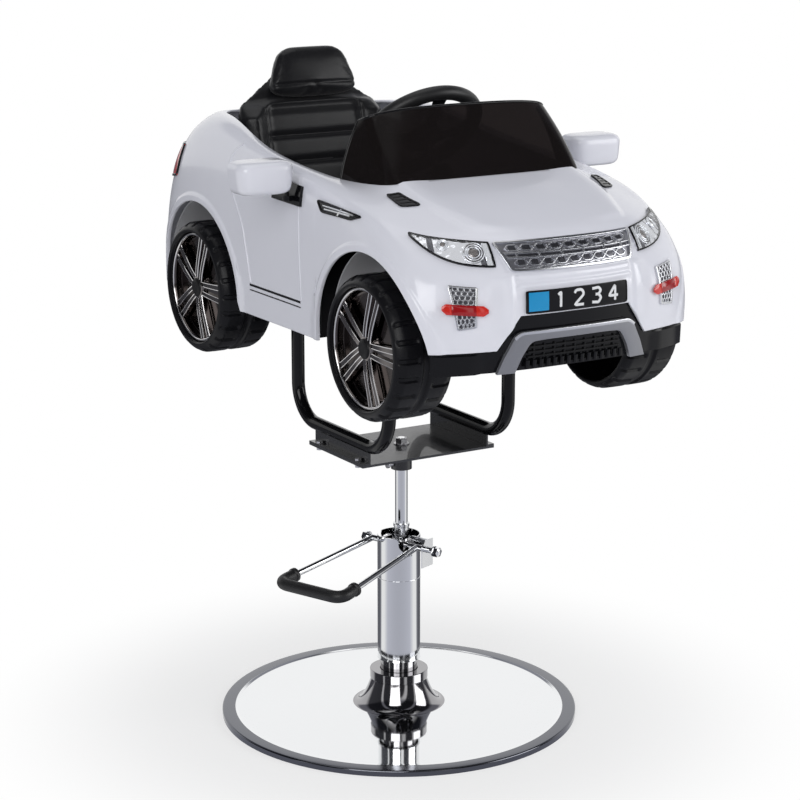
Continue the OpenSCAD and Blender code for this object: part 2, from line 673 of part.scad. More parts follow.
// Body surface: stations run from the nose round to the tail, and each holds its levels from the
// sill up to the cockpit rim, as shares of half_w, of nose_reach or tail_reach, and of waist_h
body_shares = [
  [[0, -.985, 0], [0, -.995, .17], [0, -1, .42], [0, -.99, .58],
  [0, -.925, .745], [0, -.86, .8], [0, -.68, .92], [0, -.52, .985]],
  [[.3, -.983, 0], [.3, -.992, .17], [.3, -.997, .42], [.3, -.985, .58],
  [.31, -.922, .745], [.31, -.86, .797], [.28, -.68, .915], [.26, -.52, .985]],
  [[.58, -.965, 0], [.58, -.972, .17], [.58, -.972, .42], [.56, -.938, .59],
  [.555, -.882, .745], [.545, -.828, .795], [.52, -.67, .91], [.48, -.52, .985]],
  [[.87, -.925, 0], [.87, -.93, .17], [.865, -.92, .42], [.835, -.88, .6],
  [.79, -.81, .755], [.76, -.76, .8], [.7, -.64, .9], [.62, -.52, .98]],
  [[1, -.87, 0], [1.005, -.872, .17], [1.01, -.86, .44], [.985, -.81, .63],
  [.905, -.73, .77], [.855, -.69, .815], [.78, -.61, .895], [.69, -.505, .972]],
  [[1, -.69, 0], [1.005, -.69, .17], [1.015, -.69, .44], [1.01, -.68, .67],
  [.975, -.65, .82], [.925, -.62, .865], [.84, -.54, .92], [.735, -.44, .965]],
  [[.99, -.46, 0], [.995, -.46, .17], [1.005, -.46, .44], [1.005, -.46, .7],
  [.985, -.45, .88], [.955, -.43, .93], [.88, -.38, .965], [.79, -.34, .965]],
  [[.98, -.2, 0], [.985, -.2, .17], [.995, -.2, .44], [.995, -.2, .72],
  [.97, -.2, .93], [.94, -.2, .99], [.88, -.2, 1.005], [.83, -.2, .985]],
  [[.98, .15, 0], [.985, .15, .17], [.995, .15, .44], [.995, .15, .74],
  [.965, .15, .98], [.93, .15, 1.05], [.875, .15, 1.065], [.83, .15, 1.045]],
  [[.985, .45, 0], [.99, .45, .17], [1, .45, .46], [.995, .45, .78],
  [.955, .45, 1.06], [.9, .44, 1.15], [.84, .42, 1.18], [.78, .4, 1.165]],
  [[.98, .72, 0], [.985, .72, .17], [.99, .71, .46], [.98, .69, .78],
  [.93, .655, 1.06], [.855, .625, 1.16], [.77, .59, 1.195], [.7, .58, 1.185]],
  [[.955, .89, 0], [.96, .89, .17], [.96, .875, .46], [.94, .845, .76],
  [.88, .78, 1.02], [.785, .735, 1.13], [.71, .725, 1.185], [.64, .73, 1.18]],
  [[.84, .975, 0], [.84, .98, .17], [.83, .965, .46], [.8, .93, .75],
  [.74, .855, 1], [.645, .8, 1.11], [.55, .78, 1.18], [.46, .765, 1.175]],
  [[.45, 1, 0], [.45, 1.005, .17], [.45, .99, .46], [.44, .955, .75],
  [.41, .875, .99], [.365, .815, 1.1], [.31, .79, 1.17], [.25, .77, 1.17]],
  [[0, 1, 0], [0, 1.005, .17], [0, .99, .46], [0, .955, .75],
  [0, .875, .99], [0, .815, 1.1], [0, .79, 1.17], [0, .77, 1.17]]];
stations = len(body_shares);
levels = len(body_shares[0]);
rim_level = levels - 1;
cage = [for (st = body_shares) [for (s = st)
  [s.x * half_w, s.y * (s.y < 0 ? nose_reach : tail_reach), sill_z + s.z * waist_h]]];
function flip(c) = [for (p = c) [-p.x, p.y, p.z]];
function station(i) = i < 0 ? flip(cage[-i]) : i >= stations ? flip(cage[2 * (stations - 1) - i]) : cage[i];
// The four weights of a uniform cubic B-spline at fraction f of a span
function weights(f) = [pow(1 - f, 3), 3 * pow(f, 3) - 6 * f * f + 4, -3 * pow(f, 3) + 3 * f * f + 3 * f + 1,
  pow(f, 3)] / 6;
function column(t) =
  let (i = min(floor(t), stations - 2), w = weights(t - i))
  w[0] * station(i - 1) + w[1] * station(i) + w[2] * station(i + 1) + w[3] * station(i + 2);
function level(c, k) =
  let (n = len(c)) k < 0 ? 2 * c[0] - c[1] : k >= n ? 2 * c[n - 1] - c[n - 2] : c[k];
function up(c, v) =
  let (k = max(0, min(floor(v), len(c) - 2)), w = weights(v - k))
  w[0] * level(c, k - 1) + w[1] * level(c, k) + w[2] * level(c, k + 1) + w[3] * level(c, k + 2);
function skin_at(t, v) = t < 0 ? let (p = up(column(-t), v)) [-p.x, p.y, p.z] : up(column(t), v);
probe_share = 0.02;
function normal_at(t, v) = unit(cross(skin_at(t + probe_share, v) - skin_at(t - probe_share, v),
  skin_at(t, v + probe_share) - skin_at(t, v - probe_share)));
function off_skin(t, v, d) = skin_at(t, v) + d * normal_at(t, v);

// Lower edge of the white body: nose opening, bumper edge, wheel arches and sills
opening_half = 96;
opening_step = 36;
nose_line_share = 0.8;
tail_line_share = 0.91;
tail_edge_h = 4;
function arch_h(y, yc) = abs(y - yc) < arch_r ? axle_rise + sqrt(arch_r * arch_r - (y - yc) * (y - yc)) : 0;
function nose_h(x) = bumper_edge_h + (nose_opening_h - bumper_edge_h)
  * min(1, max(0, (opening_half + opening_step - abs(x)) / opening_step));
function edge_z(p) = sill_z + max(
  p.y < -nose_line_share * nose_reach ? nose_h(p.x) : 0,
  p.y > tail_line_share * tail_reach ? tail_edge_h : 0,
  arch_h(p.y, -front_axle_reach), arch_h(p.y, rear_axle_y));
halvings = 22;
edge_top_level = 5;
function edge_level(c, lo, hi, n) =
  let (m = (lo + hi) / 2, p = up(c, m))
  n == 0 ? hi : p.z < edge_z(p) ? edge_level(c, m, hi, n - 1) : edge_level(c, lo, m, n - 1);
function start_level(c) = up(c, 0).z >= edge_z(up(c, 0)) ? 0 : edge_level(c, 0, edge_top_level, halvings);
// Station at which the body's outline, one level up, reaches a place along x or along y
function station_x(x, lo, hi, n) =
  let (m = (lo + hi) / 2) n == 0 ? hi : up(column(m), 1).x < x ? station_x(x, m, hi, n - 1)
      : station_x(x, lo, m, n - 1);
function station_y(y, lo, hi, n) =
  let (m = (lo + hi) / 2) n == 0 ? hi : up(column(m), 1).y < y ? station_y(y, m, hi, n - 1)
      : station_y(y, lo, m, n - 1);
arch_turns = [0, 7, 16, 30, 46, 62, 78, 90, 102, 118, 134, 150, 164, 173, 180];
sill_parts = 4;
tail_parts = 5;
nose_parts = 3;
flank_parts = 2;
side_from = 3;
front_arch_y = -front_axle_reach - arch_r;
front_arch_end_y = -front_axle_reach + arch_r;
rear_arch_y = rear_axle_y - arch_r;
corner_t = station_y(front_arch_y, side_from, stations - 2, halvings);
step_t = station_x(opening_half + opening_step, 0, side_from + 1, halvings);
knee_t = station_x(opening_half, 0, side_from + 1, halvings);
tail_t = station_y(rear_axle_y + arch_r, side_from, stations - 2, halvings);
half_columns = concat(
  [for (i = [0:nose_parts - 1]) knee_t * i / nose_parts],
  [for (i = [0:flank_parts - 1]) knee_t + (step_t - knee_t) * i / flank_parts],
  [for (i = [0:nose_parts - 1]) step_t + (corner_t - step_t) * i / nose_parts],
  [for (a = arch_turns) station_y(-front_axle_reach - arch_r * cos(a), side_from, stations - 2, halvings)],
  [for (i = [1:sill_parts - 1])
    station_y(front_arch_end_y + (rear_arch_y - front_arch_end_y) * i / sill_parts, side_from,
        stations - 2, halvings)],
  [for (a = arch_turns) station_y(rear_axle_y - arch_r * cos(a), side_from, stations - 2, halvings)],
  [for (i = [1:tail_parts]) tail_t + (stations - 1 - tail_t) * i / tail_parts]);
skin_rows = 15;
row_power = 0.9;
function skin_column(t, depth) =
  let (c = column(t), v0 = start_level(c))
  [for (j = [0:skin_rows]) off_skin(t, v0 + (rim_level - v0) * pow(j / skin_rows, row_power), -depth)];
function whole_loop(cols) =
  concat(cols, [for (i = [len(cols) - 2:-1:1]) flip(cols[i])]);

// A walled skin between an outer and an inner grid of points, closed in a loop or with two ends
module skin(outer, inner, closed) {
  n = len(outer);
  m = len(outer[0]);
  last = closed ? n - 1 : n - 2;
  pts = concat([for (c = outer) each c], [for (c = inner) each c]);
  walls = [for (i = [0:last], j = [0:m - 2])
    let (a = i * m + j, b = ((i + 1) % n) * m + j, o = n * m)
    each [[a, a + 1, b + 1], [a, b + 1, b], [a + o, b + o + 1, a + o + 1], [a + o, b + o, b + o + 1]]];
  rims = [for (i = [0:last])
    let (a = i * m, b = ((i + 1) % n) * m, o = n * m, e = m - 1)
    each [[a, b, b + o], [a, b + o, a + o], [a + e, b + e + o, b + e], [a + e, a + e + o, b + e + o]]];
  ends = closed ? [] : [for (j = [0:m - 2])
    let (o = n * m, z = (n - 1) * m)
    each [[j, j + o + 1, j + 1], [j, j + o, j + o + 1], [z + j, z + j + 1, z + j + o + 1], [z + j, z
        + j + o + 1, z + j + o]]];
  polyhedron(points = pts, faces = concat(walls, rims, ends), convexity = 12);
}
// A patch on the body between four corners given as [station, level], from one height over it to another
module patch(low_in, low_out, top_out, top_in, cols, rows, from, to) {
  function place(f, g) = (1 - g) * ((1 - f) * low_in + f * low_out) + g * ((1 - f) * top_in + f * top_out);
  function sheet(d) = [for (i = [0:cols]) [for (j = [0:rows])
    let (q = place(i / cols, j / rows)) off_skin(q[0], q[1], d)]];
  skin(sheet(to), sheet(from), false);
}
module both_sides() { children(); mirror([1, 0, 0]) children(); }

module body_shell() color(white_c)
  at_ram() skin(whole_loop([for (t = half_columns) skin_column(t, 0)]),
    whole_loop([for (t = half_columns) skin_column(t, body_wall)]), true);

// Front bumper: black band behind the nose opening that comes out under the white edge
band_cols = 22;
band_rows = 8;
band_wall = 4;
band_tuck = 1;
band_flush = 1;
band_low = 3;
band_lap = 14;
recess_half = opening_half + opening_step + 24;
function band_depth(z) = z < sill_z + bumper_edge_h - 2 * band_tuck ? band_flush : body_wall + band_tuck;
band_end_t = corner_t - probe_share;
function band_column(t, wall) =
  let (c = column(abs(t)), v0 = edge_level_at(c, sill_z - band_low),
    v1 = edge_level_at(c, edge_z(up(c, 1)) + band_lap))
  [for (j = [0:band_rows])
    let (v = v0 + (v1 - v0) * j / band_rows, p = up(c, v), s = abs(p.x) < recess_half ? 1 : 0)
    off_skin(t, v, -max(band_depth(p.z), s * (body_wall + band_tuck)) - wall)];
function edge_level_at(c, z) = z <= up(c, 0).z ? (z - up(c, 0).z) / (waist_h * body_shares[0][1].z)
    : level_at(c, z, 0, edge_top_level, halvings);
function level_at(c, z, lo, hi, n) =
  let (m = (lo + hi) / 2) n == 0 ? hi : up(c, m).z < z ? level_at(c, z, m, hi, n - 1) : level_at(c, z,
      lo, m, n - 1);
module front_bumper() color(black_c)
  at_ram() skin([for (i = [-band_cols:band_cols]) band_column(band_end_t * i / band_cols, 0)],
    [for (i = [-band_cols:band_cols]) band_column(band_end_t * i / band_cols, band_wall)], false);

// Skid trim: bright bar across the opening with two splayed legs, as [station, level] along each edge
trim_top_shares = [[1.8, -.1], [1.66, .45], [1.44, 1.04], [1.3, 1.18], [.7, 1.18]];
trim_low_shares = [[1.4, -.1], [1.26, .45], [1.12, .78], [1.04, .9], [.7, .93]];
trim_back = 0.4;
trim_front = 3;
function mirrored_path(s) = concat(s, [for (i = [len(s) - 1:-1:0]) [-s[i][0], s[i][1]]]);
trim_parts = 3;
function fine_path(s) = concat([for (i = [0:len(s) - 2], k = [0:trim_parts - 1])
    s[i] + (s[i + 1] - s[i]) * k / trim_parts], [s[len(s) - 1]]);
function trim_sheet(d) =
  let (a = fine_path(mirrored_path(trim_top_shares)), b = fine_path(mirrored_path(trim_low_shares)))
    [for (i = [len(a) - 1:-1:0]) [for (g = [0:0.5:1])
    let (q = (1 - g) * b[i] + g * a[i]) off_skin(q[0], q[1], d)]];
module skid_trim() color(silver_c)
  at_ram() skin(trim_sheet(trim_front), trim_sheet(-body_wall - band_tuck + trim_back), false);

// Nose pieces, each a patch on the body; lift keeps them clear of the paint
lift = 0.3;
plate_thick = 2.5;
grille_thick = 4;
lamp_thick = 3;
fog_thick = 2;
lens_from = 2.6;
lens_thick = 5;
vent_thick = 2.5;
grille_top_share = [1.68, 3.93];
grille_low_share = [1.44, 2.95];
plate_share = [1.2, 1.66, 2.26];
module number_plate() color(black_c)
  at_ram() patch([-plate_share[0], plate_share[1]], [plate_share[0], plate_share[1]],
    [plate_share[0], plate_share[2]], [-plate_share[0], plate_share[2]], 10, 2, lift, plate_thick);
module grille() color(silver_c)
  at_ram() patch([-grille_low_share[0], grille_low_share[1]], grille_low_share,
    grille_top_share, [-grille_top_share[0], grille_top_share[1]], 12, 4, lift, grille_thick);
lamp_cols = 10;
lamp_rows = 4;
lamp_in_share = 1.76;
lamp_tip_share = 3.66;
lamp_low_share = 3.08;
lamp_low_rise_share = 1.05;
lamp_top_share = 3.94;
lamp_top_rise_share = 0.27;
lamp_curl = 2.6;
function lamp_sheet(d) = [for (i = [0:lamp_cols])
  let (f = i / lamp_cols, t = lamp_in_share + (lamp_tip_share - lamp_in_share) * f,
    a = lamp_low_share + lamp_low_rise_share * pow(f, lamp_curl), b = lamp_top_share
        + lamp_top_rise_share * f)
  [for (j = [0:lamp_rows]) off_skin(t, a + (b - a) * j / lamp_rows, d)]];
module headlamps() color(chrome_c)
  at_ram() both_sides() skin(lamp_sheet(lamp_thick), lamp_sheet(lift), false);
module fog_grilles() color(silver_c)
  at_ram() both_sides() patch([2.26, 1.4], [2.66, 1.36], [2.82, 2.46], [2.22, 2.42], 4, 5, lift, fog_thick);
module fog_lenses() color(red_c)
  at_ram() both_sides() patch([2.06, 1.68], [2.98, 1.72], [2.98, 2.02], [2.06, 1.96], 5, 2, lens_from,
      lens_thick);
module vents() color(black_c)
  at_ram() both_sides() {
    patch([3.1, 5.9], [3.75, 5.84], [4.25, 6.38], [3.65, 6.5], 3, 4, lift, vent_thick);
    patch([5.55, 3.72], [6.36, 3.5], [6.5, 3.88], [5.26, 4.08], 5, 2, lift, vent_thick);
  }
module tail_lamps() color(red_c)
  at_ram() both_sides() patch([10.5, 3.0], [12.1, 2.9], [12.0, 3.9], [10.6, 3.8], 6, 4, lift, lamp_thick);

// Windscreen: stands on the cockpit rim and wraps round both front corners
screen_wall = 3;
screen_half_t = 6.2;
screen_cols = 14;
screen_rows = 5;
screen_bow = 4;
screen_top_shares = [[0, -.36, 1.384], [.2, -.36, 1.383], [.4, -.358, 1.378], [.58, -.352, 1.362],
  [.64, -.334, 1.336], [.65, -.312, 1.322], [.655, -.295, 1.31], [.66, -.28, 1.3]];
screen_top = [for (s = screen_top_shares) [s.x * half_w, s.y * nose_reach, sill_z + s.z * waist_h]];
function screen_top_at(t) = t < 0 ? let (p = screen_top_at(-t)) [-p.x, p.y, p.z] :
  let (k = min(floor(t), len(screen_top) - 2), w = weights(t - k),
    before = k == 0 ? [-screen_top[1].x, screen_top[1].y, screen_top[1].z] : screen_top[k - 1])
  w[0] * before + w[1] * screen_top[k] + w[2] * screen_top[k + 1] + w[3] * level(screen_top, k + 2);
function screen_foot(t) = let (o = skin_at(t, rim_level), m = off_skin(t, rim_level, -body_wall / 2))
  [m.x, m.y, max(o.z, m.z) + seat_gap];
function screen_point(t, g) =
  let (a = screen_foot(t), b = screen_top_at(t), out = unit([a.x / 2, a.y - b.y - screen_bow, 0]))
  (1 - g) * a + g * b + 4 * g * (1 - g) * screen_bow * out;
function screen_sheet(d) = [for (i = [-screen_cols:screen_cols])
  let (t = screen_half_t * i / screen_cols)
  [for (j = [0:screen_rows])
    let (g = j / screen_rows, n = unit(cross(screen_point(t + probe_share,
        g) - screen_point(t - probe_share, g),
      screen_point(t, min(1, g + probe_share)) - screen_point(t, max(0, g - probe_share)))))
    screen_point(t, g) + [d * n.x, d * n.y, j == 0 ? 0 : d * n.z]]];
module windscreen() color(smoke_c)
  at_ram() skin(screen_sheet(screen_wall / 2), screen_sheet(-screen_wall / 2), false);

// Chassis pan: floor, seat box, firewall and the column's lower bearing
pan_half = half_w - 10;
front_waist = 115;
rear_waist = 145;
pan_clear = 6;
nose_pan_half = 200;
nose_pan_y = nose_reach - 35;
tail_pan_half = 190;
tail_pan_y = tail_reach - 18;
nose_bridge_y = front_axle_reach + arch_r + pan_clear;
tail_bridge_y = rear_axle_y + arch_r + pan_clear;
mid_front_y = -front_axle_reach + arch_r + pan_clear;
mid_rear_y = rear_axle_y - arch_r - pan_clear;
pan_outline = [[front_waist, -nose_bridge_y], [nose_pan_half, -nose_bridge_y],
    [nose_pan_half - pan_clear * 4, -nose_pan_y],
  [-nose_pan_half + pan_clear * 4, -nose_pan_y], [-nose_pan_half, -nose_bridge_y], [-front_waist,
      -nose_bridge_y],
  [-front_waist, mid_front_y], [-pan_half, mid_front_y], [-pan_half, mid_rear_y], [-rear_waist, mid_rear_y],
  [-rear_waist, tail_bridge_y], [-tail_pan_half, tail_bridge_y], [-tail_pan_half + pan_clear * 4,
      tail_pan_y],
  [tail_pan_half - pan_clear * 4, tail_pan_y], [tail_pan_half, tail_bridge_y], [rear_waist, tail_bridge_y],
  [rear_waist, mid_rear_y], [pan_half, mid_rear_y], [pan_half, mid_front_y], [front_waist, mid_front_y]];
pan_wall = 4;
seat_box_front_y = 40;
seat_box_rear_y = 335;
firewall_h = 200;
firewall_half = half_w - 14;
helm_y = -helm_reach;
helm_z = sill_z + helm_rise;
bearing_w = 28;
bearing_front_y = 290;
bearing_rear_y = 263;
bearing_h = 101;
// Turns a piece drawn along +Z so that it runs along the column, with zero at the wheel's middle
module helm_frame() translate([0, helm_y, helm_z]) rotate([-helm_tilt, 0, 0]) children();
module column_bore() helm_frame() rise(-column_reach) cylinder(d = column_d + 2 * run_gap,
    h = column_reach);
module chassis_pan() color(black_c)
  at_ram() difference() {
    union() {
      rise(pan_z) linear_extrude(height = pan_t) polygon(pan_outline);
      translate([-rear_waist + pan_clear, seat_box_front_y, pan_top_z - cut])
        cube([2 * (rear_waist - pan_clear), seat_box_rear_y - seat_box_front_y, sill_z
            + seat_box_h - pan_top_z + cut]);
      translate([-firewall_half, mid_front_y, pan_top_z - cut]) cube([2 * firewall_half, pan_wall,
          firewall_h]);
      translate([-bearing_w / 2, -bearing_front_y, pan_top_z - cut])
        cube([bearing_w, bearing_front_y - bearing_rear_y, bearing_h]);
    }
    translate([-rear_waist + pan_clear + pan_wall, seat_box_front_y + pan_wall, pan_z - cut])
      cube([2 * (rear_waist - pan_clear - pan_wall), seat_box_rear_y - seat_box_front_y - 2 * pan_wall,
        seat_box_h - pan_rise - pan_wall + cut]);
    translate([0, rear_axle_y, axle_z]) xbar() cylinder(d = axle_d + 4 * run_gap, h = 4 * half_w,
        center = true);
    column_bore();
  }

// Wheel liners: moulded tunnels over the wheels
liner_t = 2.5;
liner_gap = 2;
liner_in_x = 119;
front_liner_x = half_w - 32;
rear_liner_x = half_w - 26;
liner_low_h = 40;
module liner(yc, in_x, out_x)
  translate([in_x, yc, axle_z]) rotate([90, 0, 90]) difference() {
    cylinder(r = arch_r + liner_gap + liner_t, h = out_x - in_x);
    rise(liner_t) cylinder(r = arch_r + liner_gap, h = out_x);
    translate([-2 * arch_r, -2 * arch_r, -cut]) cube([4 * arch_r, 2 * arch_r + liner_low_h, half_w]);
  }
module wheel_liners() color(white_c)
  at_ram() both_sides() {
    liner(-front_axle_reach, liner_in_x, front_liner_x);
    liner(rear_axle_y, rear_waist - pan_clear + seat_gap, rear_liner_x);
  }

// Dashboard: a moulded block under the windscreen that holds the column's upper bearing
dash_half = 168;
dash_shelf_half = 205;
dash_front_y = 244;
dash_rear_y = 132;
dash_top_h = 232;
dash_side_h = 218;
dash_low_h = 186;
dash_round = 16;
dash_wall = 4;
helm_boss_from = 130;
helm_boss_l = 50;
module dash_profile(top)
  polygon([[-dash_front_y, top - dash_wall * 2], [-dash_rear_y - dash_round * 2, top],
      [-dash_rear_y - dash_round / 2, top - dash_wall],
    [-dash_rear_y, top - dash_round], [-dash_rear_y - dash_round / 2, dash_low_h], [-dash_front_y,
        dash_low_h + dash_wall * 2]]);
module dashboard() color(black_c)
  at_ram() difference() {
    union() {
      translate([-dash_half, 0, sill_z]) rotate([90, 0, 90]) linear_extrude(height = 2 * dash_half)
          dash_profile(dash_top_h);
      translate([-dash_shelf_half, 0, sill_z]) rotate([90, 0, 90])
          linear_extrude(height = 2 * dash_shelf_half)
        dash_profile(dash_side_h);
      helm_frame() rise(-helm_boss_from) cylinder(d = column_d * 2.6, h = helm_boss_l);
    }
    translate([-dash_half + dash_wall, 0, sill_z]) rotate([90, 0, 90])
        linear_extrude(height = 2 * (dash_half - dash_wall))
      polygon([[-dash_front_y + dash_wall, dash_low_h - cut], [-dash_front_y + dash_wall,
          dash_side_h - dash_wall * 3],
        [-dash_rear_y - dash_round - dash_wall, dash_side_h - dash_wall * 2],
            [-dash_rear_y - dash_round - dash_wall, dash_low_h - cut]]);
    translate([-2 * dash_half, mid_front_y - seat_gap, sill_z]) cube([4 * dash_half, pan_wall
        + 2 * seat_gap, pan_rise + pan_t + firewall_h - cut + seat_gap]);
    column_bore();
  }

// Axles, knuckles, tie rod and steering
beam_h = 18;
beam_l = 24;
yoke_t = 5;
yoke_gap = 0.3;
block_h = 16;
block_w = 20;
kingpin_d = 8;
beam_end_x = kingpin_x - block_w / 2 - 2 * yoke_gap;
ear_end_x = kingpin_x + beam_l / 2;
module front_axle() color(steel_c)
  at_ram() difference() {
    both_sides() {
      translate([-cut, -front_axle_reach - beam_l / 2, pan_top_z]) cube([beam_end_x + cut, beam_l, beam_h]);
      translate([front_waist + pan_clear * 3, -front_axle_reach - beam_l / 2,
          axle_z - block_h / 2 - yoke_gap - yoke_t])
        cube([beam_end_x - front_waist - pan_clear * 3, beam_l, block_h + 2 * yoke_gap + 2 * yoke_t]);
            for (s = [-1, 1])
        translate([0, -front_axle_reach, axle_z - yoke_t / 2 + s * (block_h / 2 + yoke_gap + yoke_t / 2)]) {
          translate([front_waist + pan_clear * 3, -beam_l / 2, 0])
            cube([kingpin_x - front_waist - pan_clear * 3, beam_l, yoke_t]);
          translate([kingpin_x, 0, 0]) cylinder(d = beam_l, h = yoke_t);
        }
    }
    both_sides() translate([kingpin_x, -front_axle_reach, axle_z - beam_l]) cylinder(d = kingpin_d
        + 2 * run_gap, h = 2 * beam_l);
  }
arm_t = 5;
arm_w = 12;
arm_z = axle_z + block_h / 2 + yoke_gap + yoke_t + yoke_gap * 6;
arm_pin_d = 6;
tie_t = 5;
tie_z = arm_z + arm_t + 2 * yoke_gap;
wheel_in_x = wheel_face_x - wheel_w;
hub_in_x = ear_end_x + 3;
hub_out_x = wheel_face_x - 14;
end_flange_d = 16;
end_flange_t = 3;
axle_end_x = hub_out_x + yoke_gap * 2 + end_flange_t;
module knuckle() {
    translate([kingpin_x, 0, axle_z - block_h / 2]) cylinder(d = block_w, h = block_h);
  translate([kingpin_x, 0, axle_z - block_h / 2 - yoke_t - 2 * yoke_gap])
    cylinder(d = kingpin_d, h = arm_z + arm_t - axle_z + block_h / 2 + yoke_t + 2 * yoke_gap);
  translate([kingpin_x, 0, arm_z]) linear_extrude(height = arm_t) {
    circle(d = arm_w);
    translate([0, -steer_arm]) circle(d = arm_w);
    translate([-arm_w / 2, -steer_arm]) square([arm_w, steer_arm]);
  }
  translate([kingpin_x, -steer_arm, arm_z + arm_t - cut]) cylinder(d = arm_pin_d, h = tie_t
      + 4 * yoke_gap + cut * 2);
  translate([kingpin_x, 0, axle_z]) xbar() cylinder(d = axle_d, h = axle_end_x - kingpin_x);
  translate([axle_end_x - end_flange_t, 0, axle_z]) xbar() cylinder(d = end_flange_d, h = end_flange_t);
  translate([hub_in_x - yoke_gap * 2 - end_flange_t, 0, axle_z]) xbar() cylinder(d = end_flange_d,
      h = end_flange_t);
}
module knuckle_left() color(steel_c) at_ram() translate([0, -front_axle_reach, 0]) knuckle();
module knuckle_right() color(steel_c) at_ram() translate([0, -front_axle_reach, 0]) mirror([1, 0, 0])
    knuckle();
module rear_axle() color(steel_c)
  at_ram() translate([0, rear_axle_y, axle_z]) rotate([0, 90, 0]) {
    cylinder(d = axle_d, h = 2 * axle_end_x, center = true);
    for (s = [-1, 1]) {
      rise(s * (axle_end_x - end_flange_t / 2)) cylinder(d = end_flange_d, h = end_flange_t, center = true);
      rise(s * (hub_in_x - yoke_gap * 2 - end_flange_t / 2)) cylinder(d = end_flange_d, h = end_flange_t,
          center = true);
    }
  }
// Crank on the column's foot: its ball sits in the tie rod's slot and swings it sideways
tie_y = front_axle_reach + steer_arm;
crank_pin_d = 6;
ball_d = 8;
slot_gap = 0.4;
// Along the column and square to it, from the wheel's middle to the ball
column_dir = [0, sin(helm_tilt), cos(helm_tilt)];
crank_dir = [0, -cos(helm_tilt), sin(helm_tilt)];
ball_place = [0, -tie_y, tie_z + tie_t / 2];
helm_place = [0, helm_y, helm_z];
ball_reach = -(ball_place - helm_place) * column_dir;
crank_r = (ball_place - helm_place) * crank_dir;
crank_l = 28;
column_reach = ball_reach - crank_l;
column_top_l = 18;
module steering_column() color(steel_c)
  at_ram() {
    bar(helm_place - column_top_l * column_dir, helm_place - column_reach * column_dir, column_d / 2);
    bar(helm_place - (column_reach - column_d / 2) * column_dir,
      ball_place + (crank_l + column_d / 2) * column_dir, crank_pin_d / 2);
    bar(ball_place, ball_place + (crank_l + column_d / 2) * column_dir, crank_pin_d / 2);
    translate(ball_place + (crank_l + column_d / 2) * column_dir) sphere(d = ball_d);
    translate(ball_place) sphere(d = ball_d);
  }
arc_drop = steer_arm * (1 - cos(steer_lock));
ball_swing = crank_r * (1 - cos(helm_lock)) * cos(helm_tilt);
tie_w = 12;
tongue_w = 24;
tongue_front = 11;
tongue_rear = 21;
module tie_rod() color(steel_c)
  at_ram() translate([0, -tie_y, tie_z]) linear_extrude(height = tie_t) difference() {
    union() {
      translate([-kingpin_x, -tie_w / 2]) square([2 * kingpin_x, tie_w]);
      for (s = [-1, 1]) translate([s * kingpin_x, 0]) circle(d = tie_w + 2 * slot_gap);
      translate([-tongue_w / 2, -tongue_front]) square([tongue_w, tongue_front + tongue_rear]);
    }
    for (s = [-1, 1]) translate([s * kingpin_x, 0]) long_hole(arm_pin_d + 2 * slot_gap, arc_drop);
    long_hole(ball_d + 2 * slot_gap, 2 * ball_swing + tie_t);
  }
module long_hole(d, back) {
  circle(d = d);
  translate([0, back]) circle(d = d);
  translate([-d / 2, 0]) square([d, back]);
}
// Steering wheel: ring, three spokes and a domed hub
helm_hub_r = 30;
helm_hub_h = 16;
helm_drop = 14;
spoke_w = 24;
spoke_t = 7;
helm_cap_r = 24;
helm_cap_h = 5;
helm_spoke_turns = [0, 180, 270];
module steering_wheel() color(black_c)
  at_ram() helm_frame() difference() {
    union() {
      rotate_extrude() translate([helm_r, 0]) circle(d = helm_tube_d);
      rise(-helm_drop - helm_hub_h / 2) cylinder(r = helm_hub_r, h = helm_hub_h);
      rise(-helm_drop + helm_hub_h / 2 - cut) cylinder(r1 = helm_cap_r, r2 = helm_cap_r - helm_cap_h,
          h = helm_cap_h + cut);
      for (a = helm_spoke_turns) rotate([0, 0, a])
        translate([0, -spoke_w / 2, -helm_drop / 2 - spoke_t]) cube([helm_r, spoke_w, spoke_t]);
    }
    rise(-helm_drop - helm_hub_h) cylinder(d = column_d + 2 * run_gap, h = helm_drop
        + helm_hub_h - column_top_l + seat_gap);
  }

